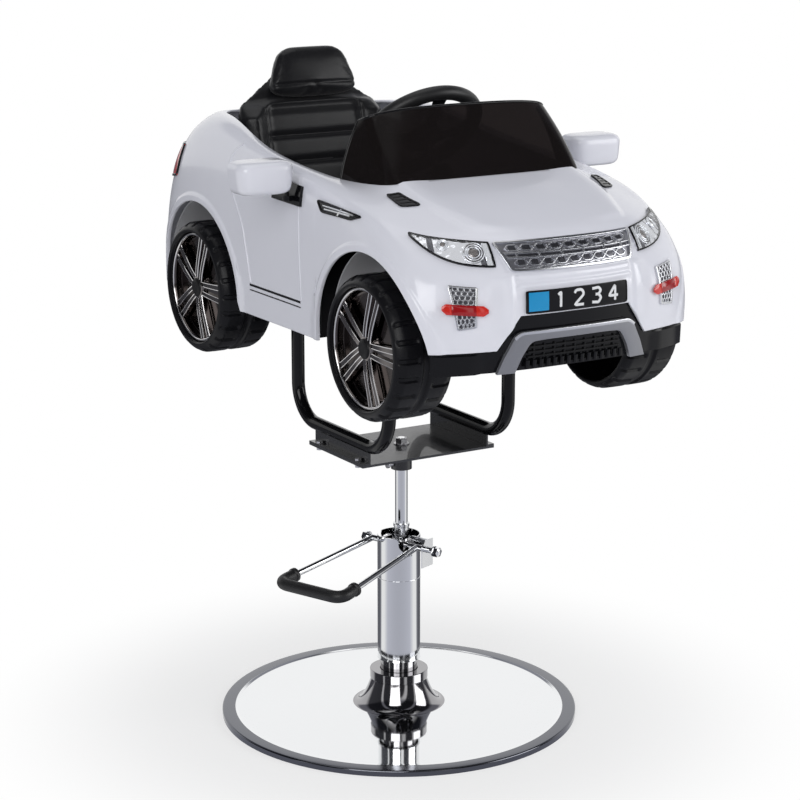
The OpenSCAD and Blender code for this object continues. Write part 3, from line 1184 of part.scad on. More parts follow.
// Wheels, drawn with the axle along +X and the outer face away from the car
tread_t = 5;
web_t = 4;
web_x = wheel_w - 25;
hub_r = 14;
shoulder_r = 94;
shoulder_w = 14;
inner_shoulder_r = 100;
rim_ledge = 3;
groove_w = 9;
groove_h = 4;
slot_w = 5;
slot_h = 3.5;
slot_share = 0.3;
wheel_r = wheel_d / 2;
rim_r = rim_d / 2;
hub_gap = 0.05;
module tyre()
  difference() {
    rotate_extrude() polygon([[axle_d / 2 + hub_gap, hub_in_x - wheel_in_x], [hub_r,
        hub_in_x - wheel_in_x], [hub_r, web_x - web_t],
      [wheel_r - 2 * tread_t - shoulder_w / 2, web_x - web_t], [wheel_r - 2 * tread_t,
          web_x - 2 * web_t], [inner_shoulder_r - tread_t, 0],
      [inner_shoulder_r, 0], [wheel_r - groove_h, shoulder_w / 2], [wheel_r, shoulder_w], [wheel_r,
          (wheel_w - groove_w) / 2], [wheel_r - groove_h, (wheel_w - groove_w) / 2],
      [wheel_r - groove_h, (wheel_w + groove_w) / 2], [wheel_r, (wheel_w + groove_w) / 2], [wheel_r,
          wheel_w - shoulder_w],
      [shoulder_r + shoulder_w / 2, wheel_w - shoulder_w / 3], [shoulder_r, wheel_w], [rim_r
          + rim_ledge / 10, wheel_w - rim_ledge],
      [rim_r + rim_ledge / 10, web_x], [hub_r, web_x], [hub_r, hub_out_x - wheel_in_x], [axle_d / 2
          + hub_gap, hub_out_x - wheel_in_x]]);
    for (i = [0:tread_slots - 1], s = [0, 1])
      rotate([0, 0, (i + s / 2) * 360 / tread_slots])
        translate([wheel_r - slot_h, -slot_w / 2, s == 0 ? -cut : wheel_w * (1 - slot_share)])
          cube([slot_h * 2, slot_w, wheel_w * slot_share + cut]);
  }
rim_back_t = 2;
rim_lip_w = 7;
rim_lip_h = 18;
rim_hub_r = 21;
rim_hub_h = 17;
rim_cavity_r = 11;
rim_cavity_h = 16;
spoke_bar_w = 7;
spoke_bar_h = 13;
spoke_half_gap = 8;
spoke_root_share = 0.7;
nub_r = 12;
rim_bore_r = hub_r + rim_ledge / 10;
rim_bore_h = hub_out_x - wheel_in_x - web_x + rim_back_t;
module rim()
  union() {
    rotate_extrude() polygon([[rim_bore_r, 0], [rim_r, 0], [rim_r, rim_lip_h],
      [rim_r - rim_lip_w, rim_lip_h], [rim_r - rim_lip_w, rim_back_t], [rim_hub_r, rim_back_t],
      [rim_hub_r, rim_hub_h], [nub_r, rim_hub_h], [nub_r, rim_hub_h + rim_back_t], [0, rim_hub_h
      + rim_back_t], [0, rim_cavity_h], [rim_cavity_r, rim_cavity_h], [rim_cavity_r, rim_bore_h],
      [rim_bore_r, rim_bore_h]]);
    for (i = [0:spokes - 1], s = [-1, 1])
            rotate([0, 0, i * 360 / spokes - 90])
        translate([rim_hub_r * spoke_root_share, s * spoke_half_gap - spoke_bar_w / 2, rim_back_t / 2])
          cube([rim_r - rim_lip_w / 2 - rim_hub_r * spoke_root_share, spoke_bar_w, spoke_bar_h]);
  }
module wheel_place(side, y)
  at_ram() translate([0, y, axle_z]) mirror([side < 0 ? 1 : 0, 0, 0]) translate([wheel_in_x, 0, 0])
      rotate([0, 90, 0]) children();
module rim_place(side, y)
  wheel_place(side, y) rise(web_x + seat_gap / 3) children();
module tyre_front_left() color(rubber_c) wheel_place(1, -front_axle_reach) tyre();
module tyre_front_right() color(rubber_c) wheel_place(-1, -front_axle_reach) tyre();
module tyre_rear_left() color(rubber_c) wheel_place(1, rear_axle_y) tyre();
module tyre_rear_right() color(rubber_c) wheel_place(-1, rear_axle_y) tyre();
module rim_front_left() color(chrome_c) rim_place(1, -front_axle_reach) rim();
module rim_front_right() color(chrome_c) rim_place(-1, -front_axle_reach) rim();
module rim_rear_left() color(chrome_c) rim_place(1, rear_axle_y) rim();
module rim_rear_right() color(chrome_c) rim_place(-1, rear_axle_y) rim();

// Mirrors: black bracket on the door, white housing that folds back about an upright pin
mirror_t = 7.15;
mirror_v = 3.85;
mirror_pin_x = 258;
mirror_pin_y = 88;
mirror_pin_d = 6;
mirror_low_h = 206;
mirror_pin_l = 34;
mirror_lug_d = 14;
mirror_lug_h = 16;
mirror_hole_d = 16;
mirror_mid = [306, -100, 246];
mirror_half = [46, 24, 26];
mirror_sides = 24;
mirror_rings = 9;
mirror_power = 0.55;
glass_t = 2;
glass_share = 0.84;
arm_h = 8;
mirror_base_t = 5;
mirror_root_x = 246;
mirror_tip = 80;
function signed(a, p) = sign(a) * pow(abs(a), p);
// A rounded box: a ball whose sines and cosines are raised to a power below one
function round_ring(half, lat, sides, power) =
  [for (k = [0:sides - 1])
    let (a = 360 * k / sides)
    [half.x * signed(cos(a), power) * signed(cos(lat), power), half.y * signed(sin(a),
        power) * signed(cos(lat), power),
    half.z * signed(sin(lat), power)]];
module mirror_brackets() color(black_c)
  at_ram() both_sides() {
    patch([mirror_t - .3, mirror_v - .45], [mirror_t + .3, mirror_v - .5], [mirror_t + .3, mirror_v
        + .3], [mirror_t - .3, mirror_v + .3], 2, 2, lift, mirror_base_t);
    translate([mirror_root_x, -mirror_pin_y - mirror_lug_d / 2, sill_z + mirror_low_h])
      cube([mirror_pin_x - mirror_root_x, mirror_lug_d, arm_h]);
    translate([mirror_pin_x, -mirror_pin_y, sill_z + mirror_low_h]) {
      cylinder(d = mirror_lug_d, h = arm_h);
      cylinder(d = mirror_pin_d, h = mirror_pin_l);
    }
  }
module wing_mirror() {
  difference() {
    translate([mirror_mid.x, mirror_mid.y, sill_z + mirror_mid.z])
      tube_mesh([for (i = [0:mirror_rings])
        round_ring(mirror_half, -mirror_tip + 2 * mirror_tip * i / mirror_rings, mirror_sides,
            mirror_power)]);
    translate([mirror_pin_x, -mirror_pin_y, sill_z + mirror_low_h]) cylinder(d = mirror_hole_d,
        h = mirror_half.z * 4);
  }
  difference() {
    union() {
      translate([mirror_pin_x, -mirror_pin_y, sill_z + mirror_low_h + arm_h + seat_gap])
          cylinder(d = mirror_lug_d, h = mirror_lug_h);
      translate([mirror_pin_x, -mirror_pin_y - mirror_lug_d / 2, sill_z + mirror_low_h + arm_h
          + mirror_lug_h / 2])
        cube([mirror_lug_d, mirror_lug_d / 2, mirror_lug_h / 2]);
    }
    translate([mirror_pin_x, -mirror_pin_y, sill_z]) cylinder(d = mirror_pin_d + 2 * run_gap, h = waist_h);
  }
  translate([mirror_mid.x, mirror_mid.y + mirror_half.y + run_gap, sill_z + mirror_mid.z]) rotate([-90,
      0, 0])
    linear_extrude(height = glass_t) polygon([for (k = [0:mirror_sides - 1])
      let (a = 360 * k / mirror_sides)
      glass_share * [mirror_half.x * signed(cos(a), mirror_power), mirror_half.z * signed(sin(a),
          mirror_power)]]);
}
module mirror_left() color(white_c) at_ram() wing_mirror();
module mirror_right() color(white_c) at_ram() mirror([1, 0, 0]) wing_mirror();

// Seat: crowned cushion, backrest with side bolsters and channels, and the headrest pillow
pad_sides = 40;
pad_power = 0.45;
cushion_rings = 11;
cushion_crown = 0.22;
cushion_channels = 3;
channel_depth = 4;
cushion_mid_y = 148;
cushion_z = sill_z + seat_box_h + seat_gap;
// Rings from the bottom's middle out, up the side and in again over the crown
cushion_ring_shares = [[.6, 0], [.93, 0], [1, .2], [.985, .45], [1, .68], [.95, .86], [.82, .95], [.62,
    .985], [.42, 1], [.2, 1.01]];
function cushion_point(s, a) =
  let (x = s[0] * cushion_w / 2 * signed(cos(a), pad_power), y = s[0] * cushion_l / 2 * signed(sin(a),
      pad_power),
    dip = s[1] > .8 ? channel_depth * pow(cos(180 * cushion_channels * y / cushion_l),
        8) * (1 - pow(abs(x) / (cushion_w / 2), 6)) : 0)
  [x, cushion_mid_y + y, cushion_z + s[1] * cushion_t - dip];
module seat_cushion() color(leather_c)
  at_ram() tube_mesh([for (s = cushion_ring_shares) [for (k = [0:pad_sides - 1]) cushion_point(s,
      360 * k / pad_sides)]]);

back_foot_y = 272;
back_front = 20;
back_rear = 9;
bolster = 22;
bolster_from_share = 0.6;
bolster_foot_share = 0.12;
bolster_rise_share = 0.1;
back_top_front = 7;
head_line_share = 0.78;
// Half widths up the backrest, as [share of its height, share of the cushion's half width]
back_width_shares = [[0, .84], [.03, .92], [.12, .98], [.25, 1.02], [.37, 1.06], [.4, 1.065], [.43,
    1.07], [.54, 1.09], [.57, 1.092],
  [.6, 1.095], [.7, 1.09], [.76, 1.06], [.79, 1.04], [.83, .96], [.9, .76], [.96, .62], [.99, .55], [1,
      .5]];
back_seams_share = [.4, .57, .76];
back_seam_depth = 4;
back_sides = 36;
function seam_dip(f) = back_seam_depth * max([for (s = back_seams_share) abs(f - s) < .015 ? 1 : 0]);
function back_point(f, w, a) =
  let (c = signed(cos(a), .5), s = signed(sin(a), .5), round_off = f < .03 || f > .985 ? .55
      : f < .06 || f > .95 ? .85 : 1,
    u = abs(c), hump = max(0, min(1, (u - bolster_from_share) / (1 - bolster_from_share) * 2.2)),
    front = f > head_line_share + .02 ? back_top_front : back_front - (u < bolster_from_share ?
        seam_dip(f) : 0)
            + bolster * hump * (f > .7 ? (head_line_share + .02 - f) / (head_line_share + .02 - .7)
        : max(0, min(1, (f - bolster_foot_share) / bolster_rise_share))))
  [w * cushion_w / 2 * c, (s > 0 ? back_rear : front) * s * round_off, f * back_h];
module lean() translate([0, back_foot_y, sill_z + seat_box_h + seat_gap * 4]) rotate([-back_lean, 0, 0])
    children();
module seat_back() color(leather_c)
  at_ram() lean() tube_mesh([for (r = back_width_shares) [for (k = [0:back_sides - 1]) back_point(r[0],
      r[1], 360 * k / back_sides)]]);

headrest_half = 91;
headrest_top_half = 64;
headrest_sides = 28;
head_ring_shares = [[0, .6, .5], [.04, .8, .8], [.14, .95, .97], [.3, 1, 1], [.5, 1, .98], [.7, .98,
    .95], [.86, .93, .85], [.96, .78, .6], [1, .6, .3]];
function head_point(r, a) =
  let (w = headrest_half + (headrest_top_half - headrest_half) * r[0], c = signed(cos(a), .5),
      s = signed(sin(a), .5))
  [w * r[1] * c, -back_top_front - seat_gap * 2 - headrest_t / 2 + headrest_t / 2 * r[2] * s, r[0]
      * headrest_h];
module headrest() color(leather_c)
  at_ram() lean() rise((head_line_share + .03) * back_h)
    tube_mesh([for (r = head_ring_shares) [for (k = [0:headrest_sides - 1]) head_point(r,
        360 * k / headrest_sides)]]);

base_disc();
base_weight();
floor_ring();
pump_flange();
pump_body();
pump_bolts();
pump_cover();
ram_gland();
shaft_bracket();
plunger_spring();
pump_plunger();
piston_head();
piston_seal();
pedal_bar();
pedal_grip();
pedal_shaft();
rocker_arm();
pedal_nuts();
ram_rod();
hub_collar();
plate_fasteners();
seat_plate();
rails();
carrier_tubes();
tube_feet();
chassis_pan();
wheel_liners();
body_shell();
front_bumper();
skid_trim();
grille();
number_plate();
headlamps();
fog_grilles();
fog_lenses();
vents();
windscreen();
dashboard();
seat_cushion();
seat_back();
headrest();
tail_lamps();
mirror_brackets();
mirror_left();
mirror_right();
front_axle();
rear_axle();
steering_column();
steering_wheel();
tie_rod();
knuckle_left();
knuckle_right();
tyre_front_left();
tyre_front_right();
tyre_rear_left();
tyre_rear_right();
rim_front_left();
rim_front_right();
rim_rear_left();
rim_rear_right();
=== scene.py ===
"""Looks of a child's barber chair: a white toy car on a chromed foot pump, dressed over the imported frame."""

import json
import logging
import math
from collections.abc import Callable, Sequence
from dataclasses import dataclass, field
from enum import Enum

import bmesh
import bpy
import numpy as np
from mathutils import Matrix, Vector

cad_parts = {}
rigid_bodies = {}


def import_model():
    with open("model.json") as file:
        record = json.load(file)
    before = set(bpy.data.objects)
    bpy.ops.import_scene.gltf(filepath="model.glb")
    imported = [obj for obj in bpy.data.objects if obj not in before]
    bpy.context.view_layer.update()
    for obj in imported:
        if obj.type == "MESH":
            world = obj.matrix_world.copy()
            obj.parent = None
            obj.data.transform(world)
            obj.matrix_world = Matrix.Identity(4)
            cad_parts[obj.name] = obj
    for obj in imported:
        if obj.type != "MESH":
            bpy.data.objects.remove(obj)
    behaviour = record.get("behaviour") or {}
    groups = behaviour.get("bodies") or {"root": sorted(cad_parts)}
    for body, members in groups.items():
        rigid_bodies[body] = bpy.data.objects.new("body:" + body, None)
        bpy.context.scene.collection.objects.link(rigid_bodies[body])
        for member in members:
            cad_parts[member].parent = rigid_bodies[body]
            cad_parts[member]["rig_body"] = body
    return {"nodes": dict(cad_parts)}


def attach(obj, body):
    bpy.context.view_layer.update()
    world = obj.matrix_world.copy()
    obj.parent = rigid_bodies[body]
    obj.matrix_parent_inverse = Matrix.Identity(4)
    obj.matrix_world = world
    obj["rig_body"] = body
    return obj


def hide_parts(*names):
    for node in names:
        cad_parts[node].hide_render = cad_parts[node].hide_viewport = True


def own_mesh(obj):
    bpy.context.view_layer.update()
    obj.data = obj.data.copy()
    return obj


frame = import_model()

Array = np.ndarray
log = logging.getLogger("chair")
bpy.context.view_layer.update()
# The ram's axis, from which everything of the car is measured, in millimetres
RAM = np.array([6.5176, 2.5541, 0.0])
MM = 0.001
# The length below which a vector counts as nothing, and how often solve() halves its range
TINY = 1e-12
HALVINGS = 34


def metres(points: Array) -> Array:
    """Turns millimetres from the ram's axis into metres in the row's frame.

    Args:
        points: places measured from the ram's axis at floor level.

    Returns:
        The same places in the row's frame.
    """
    return (points + RAM) * MM


def unit(v: Array) -> Array:
    """Returns vectors along the last axis divided by their lengths."""
    return v / np.maximum(np.linalg.norm(v, axis=-1, keepdims=True), TINY)


def signed(a: Array, power: float) -> Array:
    """Returns sign(a) times |a| to a power, which turns a circle into a rounded box."""
    return np.sign(a) * np.abs(a) ** power


def bump(x: Array, width: float) -> Array:
    """Returns exp(-(x / width)^2), a smooth ridge one unit high."""
    return np.exp(-((x / width) ** 2))


def ramp(x: Array, low: float, high: float) -> Array:
    """Returns a smooth step that is 0 below low and 1 above high."""
    f = np.clip((x - low) / (high - low), 0, 1)
    return f * f * (3 - 2 * f)


def solve(gap: Callable[[Array], Array], low: Array, high: Array) -> Array:
    """Finds where a rising function crosses zero, by halving.

    Args:
        gap: function that is negative below the wanted place.
        low: lower limits.
        high: upper limits.

    Returns:
        The crossing places.
    """
    low, high = np.array(low, float), np.array(high, float)
    for _ in range(HALVINGS):
        mid = (low + high) / 2
        under = gap(mid) < 0
        low, high = np.where(under, mid, low), np.where(under, high, mid)
    return high


def fillet(points: Sequence[Sequence[float]], radius: float, steps: int = 5, closed: bool = False) -> Array:
    """Rounds the corners of a line: each corner c becomes (1-f)^2 a + 2 f (1-f) c + f^2 b.

    Args:
        points: corners in two or three dimensions.
        radius: distance from a corner at which its curve starts, cut to half of the shorter side.
        steps: points on each curve.
        closed: whether the line returns to its start.

    Returns:
        The rounded line.
    """
    p = np.array(points, float)
    back, on = np.roll(p, 1, 0) - p, np.roll(p, -1, 0) - p
    shorter = np.minimum(np.linalg.norm(back, axis=1), np.linalg.norm(on, axis=1))
    reach = np.minimum(radius, 0.5 * shorter)[:, None]
    a, b = p + unit(back) * reach, p + unit(on) * reach
    f = np.linspace(0, 1, steps)[None, :, None]
    curve = (1 - f) ** 2 * a[:, None] + 2 * f * (1 - f) * p[:, None] + f**2 * b[:, None]
    if closed:
        return curve.reshape(-1, p.shape[1])
    return np.vstack([p[:1], curve[1:-1].reshape(-1, p.shape[1]), p[-1:]])


def spread(points: Array, count: int, closed: bool = False) -> Array:
    """Returns count points evenly spaced along a line through the given ones."""
    p = np.vstack([points, points[:1]]) if closed else np.array(points, float)
    s = np.concatenate([[0], np.cumsum(np.linalg.norm(np.diff(p, axis=0), axis=1))])
    at = np.linspace(0, s[-1], count, endpoint=not closed)
    return np.stack([np.interp(at, s, p[:, k]) for k in range(p.shape[1])], -1)


def turns(count: int) -> Array:
    """Returns count angles evenly spaced once round."""
    return np.linspace(0, 2 * math.pi, count, endpoint=False)


def heading(p: Array, closed: bool = False) -> Array:
    """Returns the direction of a line at each of its points."""
    return unit(np.roll(p, -1, 0) - np.roll(p, 1, 0) if closed else np.gradient(p, axis=0))


class Pattern(Enum):
    """Small-scale surface of a finish."""

    FLOWED = "flowed"
    BRUSHED = "brushed"
    GRAINED = "grained"
    HAMMERED = "hammered"


@dataclass(frozen=True)
class Graph:
    """Short calls that build a node tree."""

    tree: bpy.types.NodeTree

    def add(self, kind: str, feeds: dict | None = None, **settings: object) -> bpy.types.Node:
        """Adds a node.

        Args:
            kind: its type, without the beginning that all share.
            feeds: for each of its inputs, a value or the socket to link.
            settings: its own properties.

        Returns:
            The node.
        """
        node = self.tree.nodes.new(f"ShaderNode{kind}")
        for key, value in settings.items():
            setattr(node, key, value)
        self.feed(node, feeds or {})
        return node

    def feed(self, node: bpy.types.Node, feeds: dict) -> None:
        """Gives each named input of a node its value, or links the socket given for it."""
        for key, value in feeds.items():
            if isinstance(value, bpy.types.NodeSocket):
                self.tree.links.new(value, node.inputs[key])
            else:
                node.inputs[key].default_value = value


@dataclass(frozen=True)
class Finish:
    """One procedural surface: a colour with noise in it, in its roughness and in its relief."""

    name: str
    slot: str
    color: tuple[float, float, float]
    metal: float = 0.0
    rough: float = 0.4
    coat: float = 0.0
    coat_rough: float = 0.04
    clear: float = 0.0
    ior: float = 1.47
    pattern: Pattern = Pattern.FLOWED
    scale: float = 60.0
    relief: float = 0.0
    variation: float = 0.04
    sheen: float = 0.0

    def build(self) -> bpy.types.Material:
        """Makes the node material, once for each finish.

        Returns:
            The Blender material.
        """
        found = bpy.data.materials.get(self.name)
        if found:
            return found
        m = bpy.data.materials.new(self.name)
        m.use_nodes = True
        m.diffuse_color = (*self.color, 1)
        graph = Graph(m.node_tree)
        shader = m.node_tree.nodes["Principled BSDF"]
        place = graph.add("TexCoord")
        stretch = (1, 1, 0.04) if self.pattern is Pattern.BRUSHED else (1, 1, 1)
        mapping = graph.add("Mapping", {"Vector": place.outputs["Object"], "Scale": stretch})
        noise = graph.add("TexNoise", {"Vector": mapping.outputs["Vector"], "Scale": self.scale, "Detail": 5})
        tint = graph.add("MapRange", {
            "Value": noise.outputs["Fac"], "To Min": 1 - self.variation, "To Max": 1 + self.variation,
        })
        mix = graph.add("VectorMath", {0: self.color, "Scale": tint.outputs["Result"]}, operation="SCALE")
        gloss = graph.add("MapRange", {
            "Value": noise.outputs["Fac"],
            "To Min": max(0.01, self.rough * 0.8), "To Max": min(1, self.rough * 1.25),
        })
        graph.feed(shader, {
            "Base Color": (*self.color, 1), "Roughness": gloss.outputs["Result"], "Metallic": self.metal,
            "Coat Weight": self.coat, "Coat Roughness": self.coat_rough, "Transmission Weight": self.clear,
            "IOR": self.ior, "Sheen Weight": self.sheen,
        })
        if self.variation:
            graph.feed(shader, {"Base Color": mix.outputs["Vector"]})
        if self.relief:
            self.raise_relief(graph, shader, noise, mapping)
        return m

    def raise_relief(
        self, graph: Graph, shader: bpy.types.Node, noise: bpy.types.Node, mapping: bpy.types.Node
    ) -> None:
        """Adds the finish's relief: cells for grain and hammering, and noise otherwise.

        Args:
            graph: the material's tree.
            shader: the node that the relief bends.
            noise: the material's noise.
            mapping: its coordinates.
        """
        height = noise.outputs["Fac"]
        if self.pattern in (Pattern.GRAINED, Pattern.HAMMERED):
            feature, finer = ("SMOOTH_F1", 3) if self.pattern is Pattern.HAMMERED else ("DISTANCE_TO_EDGE", 9)
            feeds = {"Vector": mapping.outputs["Vector"], "Scale": self.scale * finer}
            height = graph.add("TexVoronoi", feeds, feature=feature).outputs["Distance"]
        rise = graph.add("Bump", {"Height": height, "Strength": 0.6, "Distance": self.relief})
        graph.feed(shader, {"Normal": rise.outputs["Normal"]})


CHROME = Finish("bright chrome", "chromed_steel", (0.86, 0.87, 0.88), 1, 0.05, scale=8, variation=0.01)
BRUSHED_CHROME = Finish(
    "satin chrome", "chromed_steel", (0.8, 0.81, 0.82), 1, 0.16,
    pattern=Pattern.BRUSHED, scale=90, variation=0.03,
)
# The trumpet hub, pump flange and pump body are chrome painted dark grey: a painted dark reflection, with
# painted shade round the pump's neck.
HUB_CHROME_PAINTED_DARK = Finish("hub chrome painted dark reflection", "chromed_steel", (0.36, 0.355, 0.365), 1, 0.07, scale=8, variation=0.01)
# The base's edge ring is the same chrome painted near black: a painted dark reflection of the room round the
# base.
RING_CHROME_PAINTED_DARK = Finish("ring chrome painted dark reflection", "chromed_steel", (0.15, 0.155, 0.175), 1, 0.11, scale=8, variation=0.02)
DARK_CHROME = Finish("smoked chrome", "dark_chrome", (0.2, 0.185, 0.18), 1, 0.1, scale=15, variation=0.02)
# The rim's dish is the spokes' chrome painted near black: painted shade in the deep pockets between the
# spokes.
RIM_POCKET_SHADE = Finish("rim pockets painted shade", "dark_chrome", (0.1, 0.088, 0.085), 1, 0.16, scale=15, variation=0.02)
# Thin bright tubes on the spokes' upper edges and the lip ring: painted highlights on the dark chrome.
RIM_EDGE_HIGHLIGHT = Finish("rim edge highlights", "dark_chrome", (0.74, 0.73, 0.73), 1, 0.1, scale=15, variation=0.02)
LAMP_BOWL = Finish(
    "lamp bowl", "bright_trim", (0.8, 0.8, 0.83), 1, 0.06,
    pattern=Pattern.HAMMERED, scale=42, relief=0.0022, variation=0.02,
)
BRIGHT_TRIM = Finish("bright trim", "bright_trim", (0.74, 0.75, 0.78), 1, 0.22, scale=30, variation=0.02)
GRILLE_GREY = Finish(
    "grille grey", "bright_trim", (0.3, 0.3, 0.33), 0.8, 0.3, coat=0.4, scale=200, variation=0.03
)
DARK_TRIM = Finish(
    "dark trim", "bright_trim", (0.1, 0.1, 0.115), 0.8, 0.25, coat=0.4, scale=200, variation=0.05
)
STEEL = Finish(
    "machined steel", "bare_steel", (0.56, 0.56, 0.58), 1, 0.3,
    pattern=Pattern.BRUSHED, scale=400, relief=0.00002,
)
BLACK_PAINT = Finish(
    "black enamel", "black_paint", (0.012, 0.012, 0.014), 0, 0.28, coat=0.7, scale=220, relief=0.00004
)
GREY_PAINT = Finish(
    "hammered grey", "grey_paint", (0.045, 0.046, 0.052), 0.5, 0.34, coat=0.4, pattern=Pattern.HAMMERED,
    scale=110, relief=0.00012,
)
WHITE_SHELL = Finish(
    "white shell", "white_shell", (0.745, 0.75, 0.815), 0, 0.2, coat=0.45, scale=25, variation=0.008
)
# The wheel liners are the white shell's plastic painted mid grey: painted shade inside the arches.
SHADED_SHELL = Finish("white liner painted shade", "white_shell", (0.5, 0.5, 0.52), 0, 0.5, scale=25, variation=0.02)
SILVER = Finish(
    "satin silver", "silver_plastic", (0.27, 0.275, 0.3), 0.6, 0.3, coat=0.3, scale=300, variation=0.03
)
BLACK_PLASTIC = Finish(
    "grained black", "black_plastic", (0.006, 0.006, 0.007), 0, 0.42, ior=1.32,
    pattern=Pattern.GRAINED, scale=120, relief=0.00006,
)
BLACK_GLOSS = Finish(
    "glossy black", "black_gloss", (0.004, 0.004, 0.005), 0, 0.14,
    coat=0.15, ior=1.3, scale=40, relief=0.00002,
)
RED_LENS = Finish(
    "red lens", "red_lens", (0.72, 0.03, 0.02), 0, 0.12, coat=0.6, clear=0.25, scale=120, relief=0.00006
)
DEEP_RED = Finish(
    "deep red lens", "red_lens", (0.38, 0.008, 0.012), 0, 0.12, coat=0.6, clear=0.2, scale=120, relief=0.00006
)
CLEAR_LENS = Finish(
    "clear lens", "bright_trim", (0.96, 0.97, 0.98), 0, 0.02, clear=1, ior=1.25, scale=10, variation=0.0
)
SMOKED = Finish(
    "smoked screen", "smoked_screen", (0.022, 0.018, 0.018), 0, 0.05, clear=0.6, ior=1.2, scale=12
)
TYRE = Finish(
    "tyre black", "tyre_plastic", (0.006, 0.006, 0.0075), 0, 0.32, ior=1.3, scale=160, relief=0.00003
)
RUBBER = Finish("soft rubber", "black_rubber", (0.014, 0.014, 0.015), 0, 0.42, scale=260, relief=0.00005)
LEATHER = Finish(
    "black leather", "black_leather", (0.0075, 0.0075, 0.009), 0, 0.33, coat=0.1, coat_rough=0.2, ior=1.3,
    pattern=Pattern.GRAINED, scale=130, relief=0.00011, sheen=0.1,
)
BLUE_STRIP = Finish("blue strip", "black_gloss", (0.0, 0.26, 0.55), 0, 0.25, coat=0.5, scale=60)
DIGIT_WHITE = Finish("digit white", "white_shell", (0.75, 0.76, 0.78), 0, 0.35, scale=90)
MIRROR_GLASS = Finish("mirror face", "bright_trim", (0.88, 0.89, 0.9), 1, 0.02, scale=10, variation=0.0)


@dataclass
class Form:
    """A mesh that grows surface by surface."""

    points: list[Array] = field(default_factory=list)
    faces: list[list[int]] = field(default_factory=list)
    size: int = 0

    def grid(self, p: Array, round_u: bool = False, round_v: bool = False, caps: bool = False) -> "Form":
        """Adds the surface through a grid of points, four neighbours to a face.

        Args:
            p: points as [along, across, xyz].
            round_u: whether the last row joins the first.
            round_v: whether the last column joins the first.
            caps: whether the first and last rows are filled in.

        Returns:
            The form itself.
        """
        n, m = p.shape[:2]
        i = np.arange(n if round_u else n - 1)[:, None]
        j = np.arange(m if round_v else m - 1)[None]
        a, b = i * m + j, (i + 1) % n * m + j
        c, d = (i + 1) % n * m + (j + 1) % m, i * m + (j + 1) % m
        self.faces += (np.stack([a, b, c, d], -1).reshape(-1, 4) + self.size).tolist()
        if caps:
            self.faces.append((np.arange(m)[::-1] + self.size).tolist())
            self.faces.append((np.arange(m) + (n - 1) * m + self.size).tolist())
        self.points.append(p.reshape(-1, 3))
        self.size += n * m
        return self

    def tube(self, path: Array, radius: float | Array, sides: int = 24, closed: bool = False) -> "Form":
        """Adds a round bar: path + r (cos b * side + sin b * up) round each point of the path.

        Args:
            path: middle line.
            radius: one radius, or one for each point.
            sides: points round the bar.
            closed: whether the path returns to its start.

        Returns:
            The form itself.
        """
        along = heading(path, closed)
        steep = np.abs(along[:, 2]).max() >= 0.96
        side = unit(np.cross(along, [0.3, 1.0, 0.1] if steep else [0.0, 0.0, 1.0]))
        top = np.cross(side, along)
        b = turns(sides)[None, :, None]
        r = np.broadcast_to(np.asarray(radius, float), (len(path),))[:, None, None]
        ring = path[:, None] + r * (np.cos(b) * side[:, None] + np.sin(b) * top[:, None])
        return self.grid(ring, round_u=closed, round_v=True, caps=not closed)

    def lathe(
        self, profile: Array, sides: int = 96, closed: bool = True, ripple: Array | None = None
    ) -> "Form":
        """Adds a turned surface: (r cos a, r sin a, z) for each profile point (r, z).

        Args:
            profile: radius and height of each point.
            sides: points round the axis.
            closed: whether the profile returns to its start.
            ripple: change of radius at each [profile point, side].

        Returns:
            The form itself.
        """
        a = turns(sides)[None]
        r = profile[:, :1] + (0 if ripple is None else ripple)
        z = np.broadcast_to(profile[:, 1:], (len(profile), sides))
        p = np.stack([r * np.cos(a), r * np.sin(a), z], -1)
        return self.grid(p, round_u=closed, round_v=True)

    def moved(self, turn: Array, shift: Array) -> "Form":
        """Returns a copy with each point p at turn @ p + shift."""
        return Form([p @ turn.T + shift for p in self.points], self.faces, self.size)

    def join(self, other: "Form") -> "Form":
        """Adds another form's surfaces to this one and returns it."""
        self.points += other.points
        self.faces += [[k + self.size for k in f] for f in other.faces]
        self.size += other.size
        return self


def put(
    name: str, form: Form, finish: Finish, body: str, replaces: Sequence[str] = (), sharp: float = 38.0,
    local: bool = False,
) -> bpy.types.Object:
    """Makes a form into a finished piece that moves with a body.

    Args:
        name: the piece's name.
        form: its surfaces, in millimetres.
        finish: its surface finish.
        body: the CAD body that it rides on.
        replaces: CAD nodes that it stands for.
        sharp: angle in degrees above which an edge stays crisp.
        local: whether the form is already measured from the base's middle.

    Returns:
        The new object.
    """
    p = np.vstack(form.points)
    name = name.replace(" ", "_")
    mesh = bpy.data.meshes.new(name)
    mesh.from_pydata((p * MM if local else metres(p)).tolist(), [], form.faces)
    bm = bmesh.new()
    bm.from_mesh(mesh)
    bmesh.ops.remove_doubles(bm, verts=bm.verts, dist=2e-6)
    bmesh.ops.recalc_face_normals(bm, faces=bm.faces)
    bm.to_mesh(mesh)
    bm.free()
    return dress(bpy.data.objects.new(name, mesh), finish, body, replaces, sharp)


def dress(
    o: bpy.types.Object, finish: Finish, body: str, replaces: Sequence[str] = (), sharp: float = 38.0
) -> bpy.types.Object:
    """Links an object, shades and paints it, and fastens it to its body.

    Args:
        o: the object, with its place in its mesh.
        finish: its surface finish.
        body: the CAD body that it rides on.
        replaces: CAD nodes that it stands for.
        sharp: angle in degrees above which an edge stays crisp.

    Returns:
        The object.
    """
    if o.name not in bpy.context.scene.collection.objects:
        bpy.context.scene.collection.objects.link(o)
    o.data.polygons.foreach_set("use_smooth", np.ones(len(o.data.polygons), bool))
    o.data.set_sharp_from_angle(angle=math.radians(sharp))
    o.data.materials.clear()
    o.data.materials.append(finish.build())
    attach(o, body)
    if replaces:
        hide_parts(*replaces)
    log.info("%s: %d faces on %s", o.name, len(o.data.polygons), body)
    return o


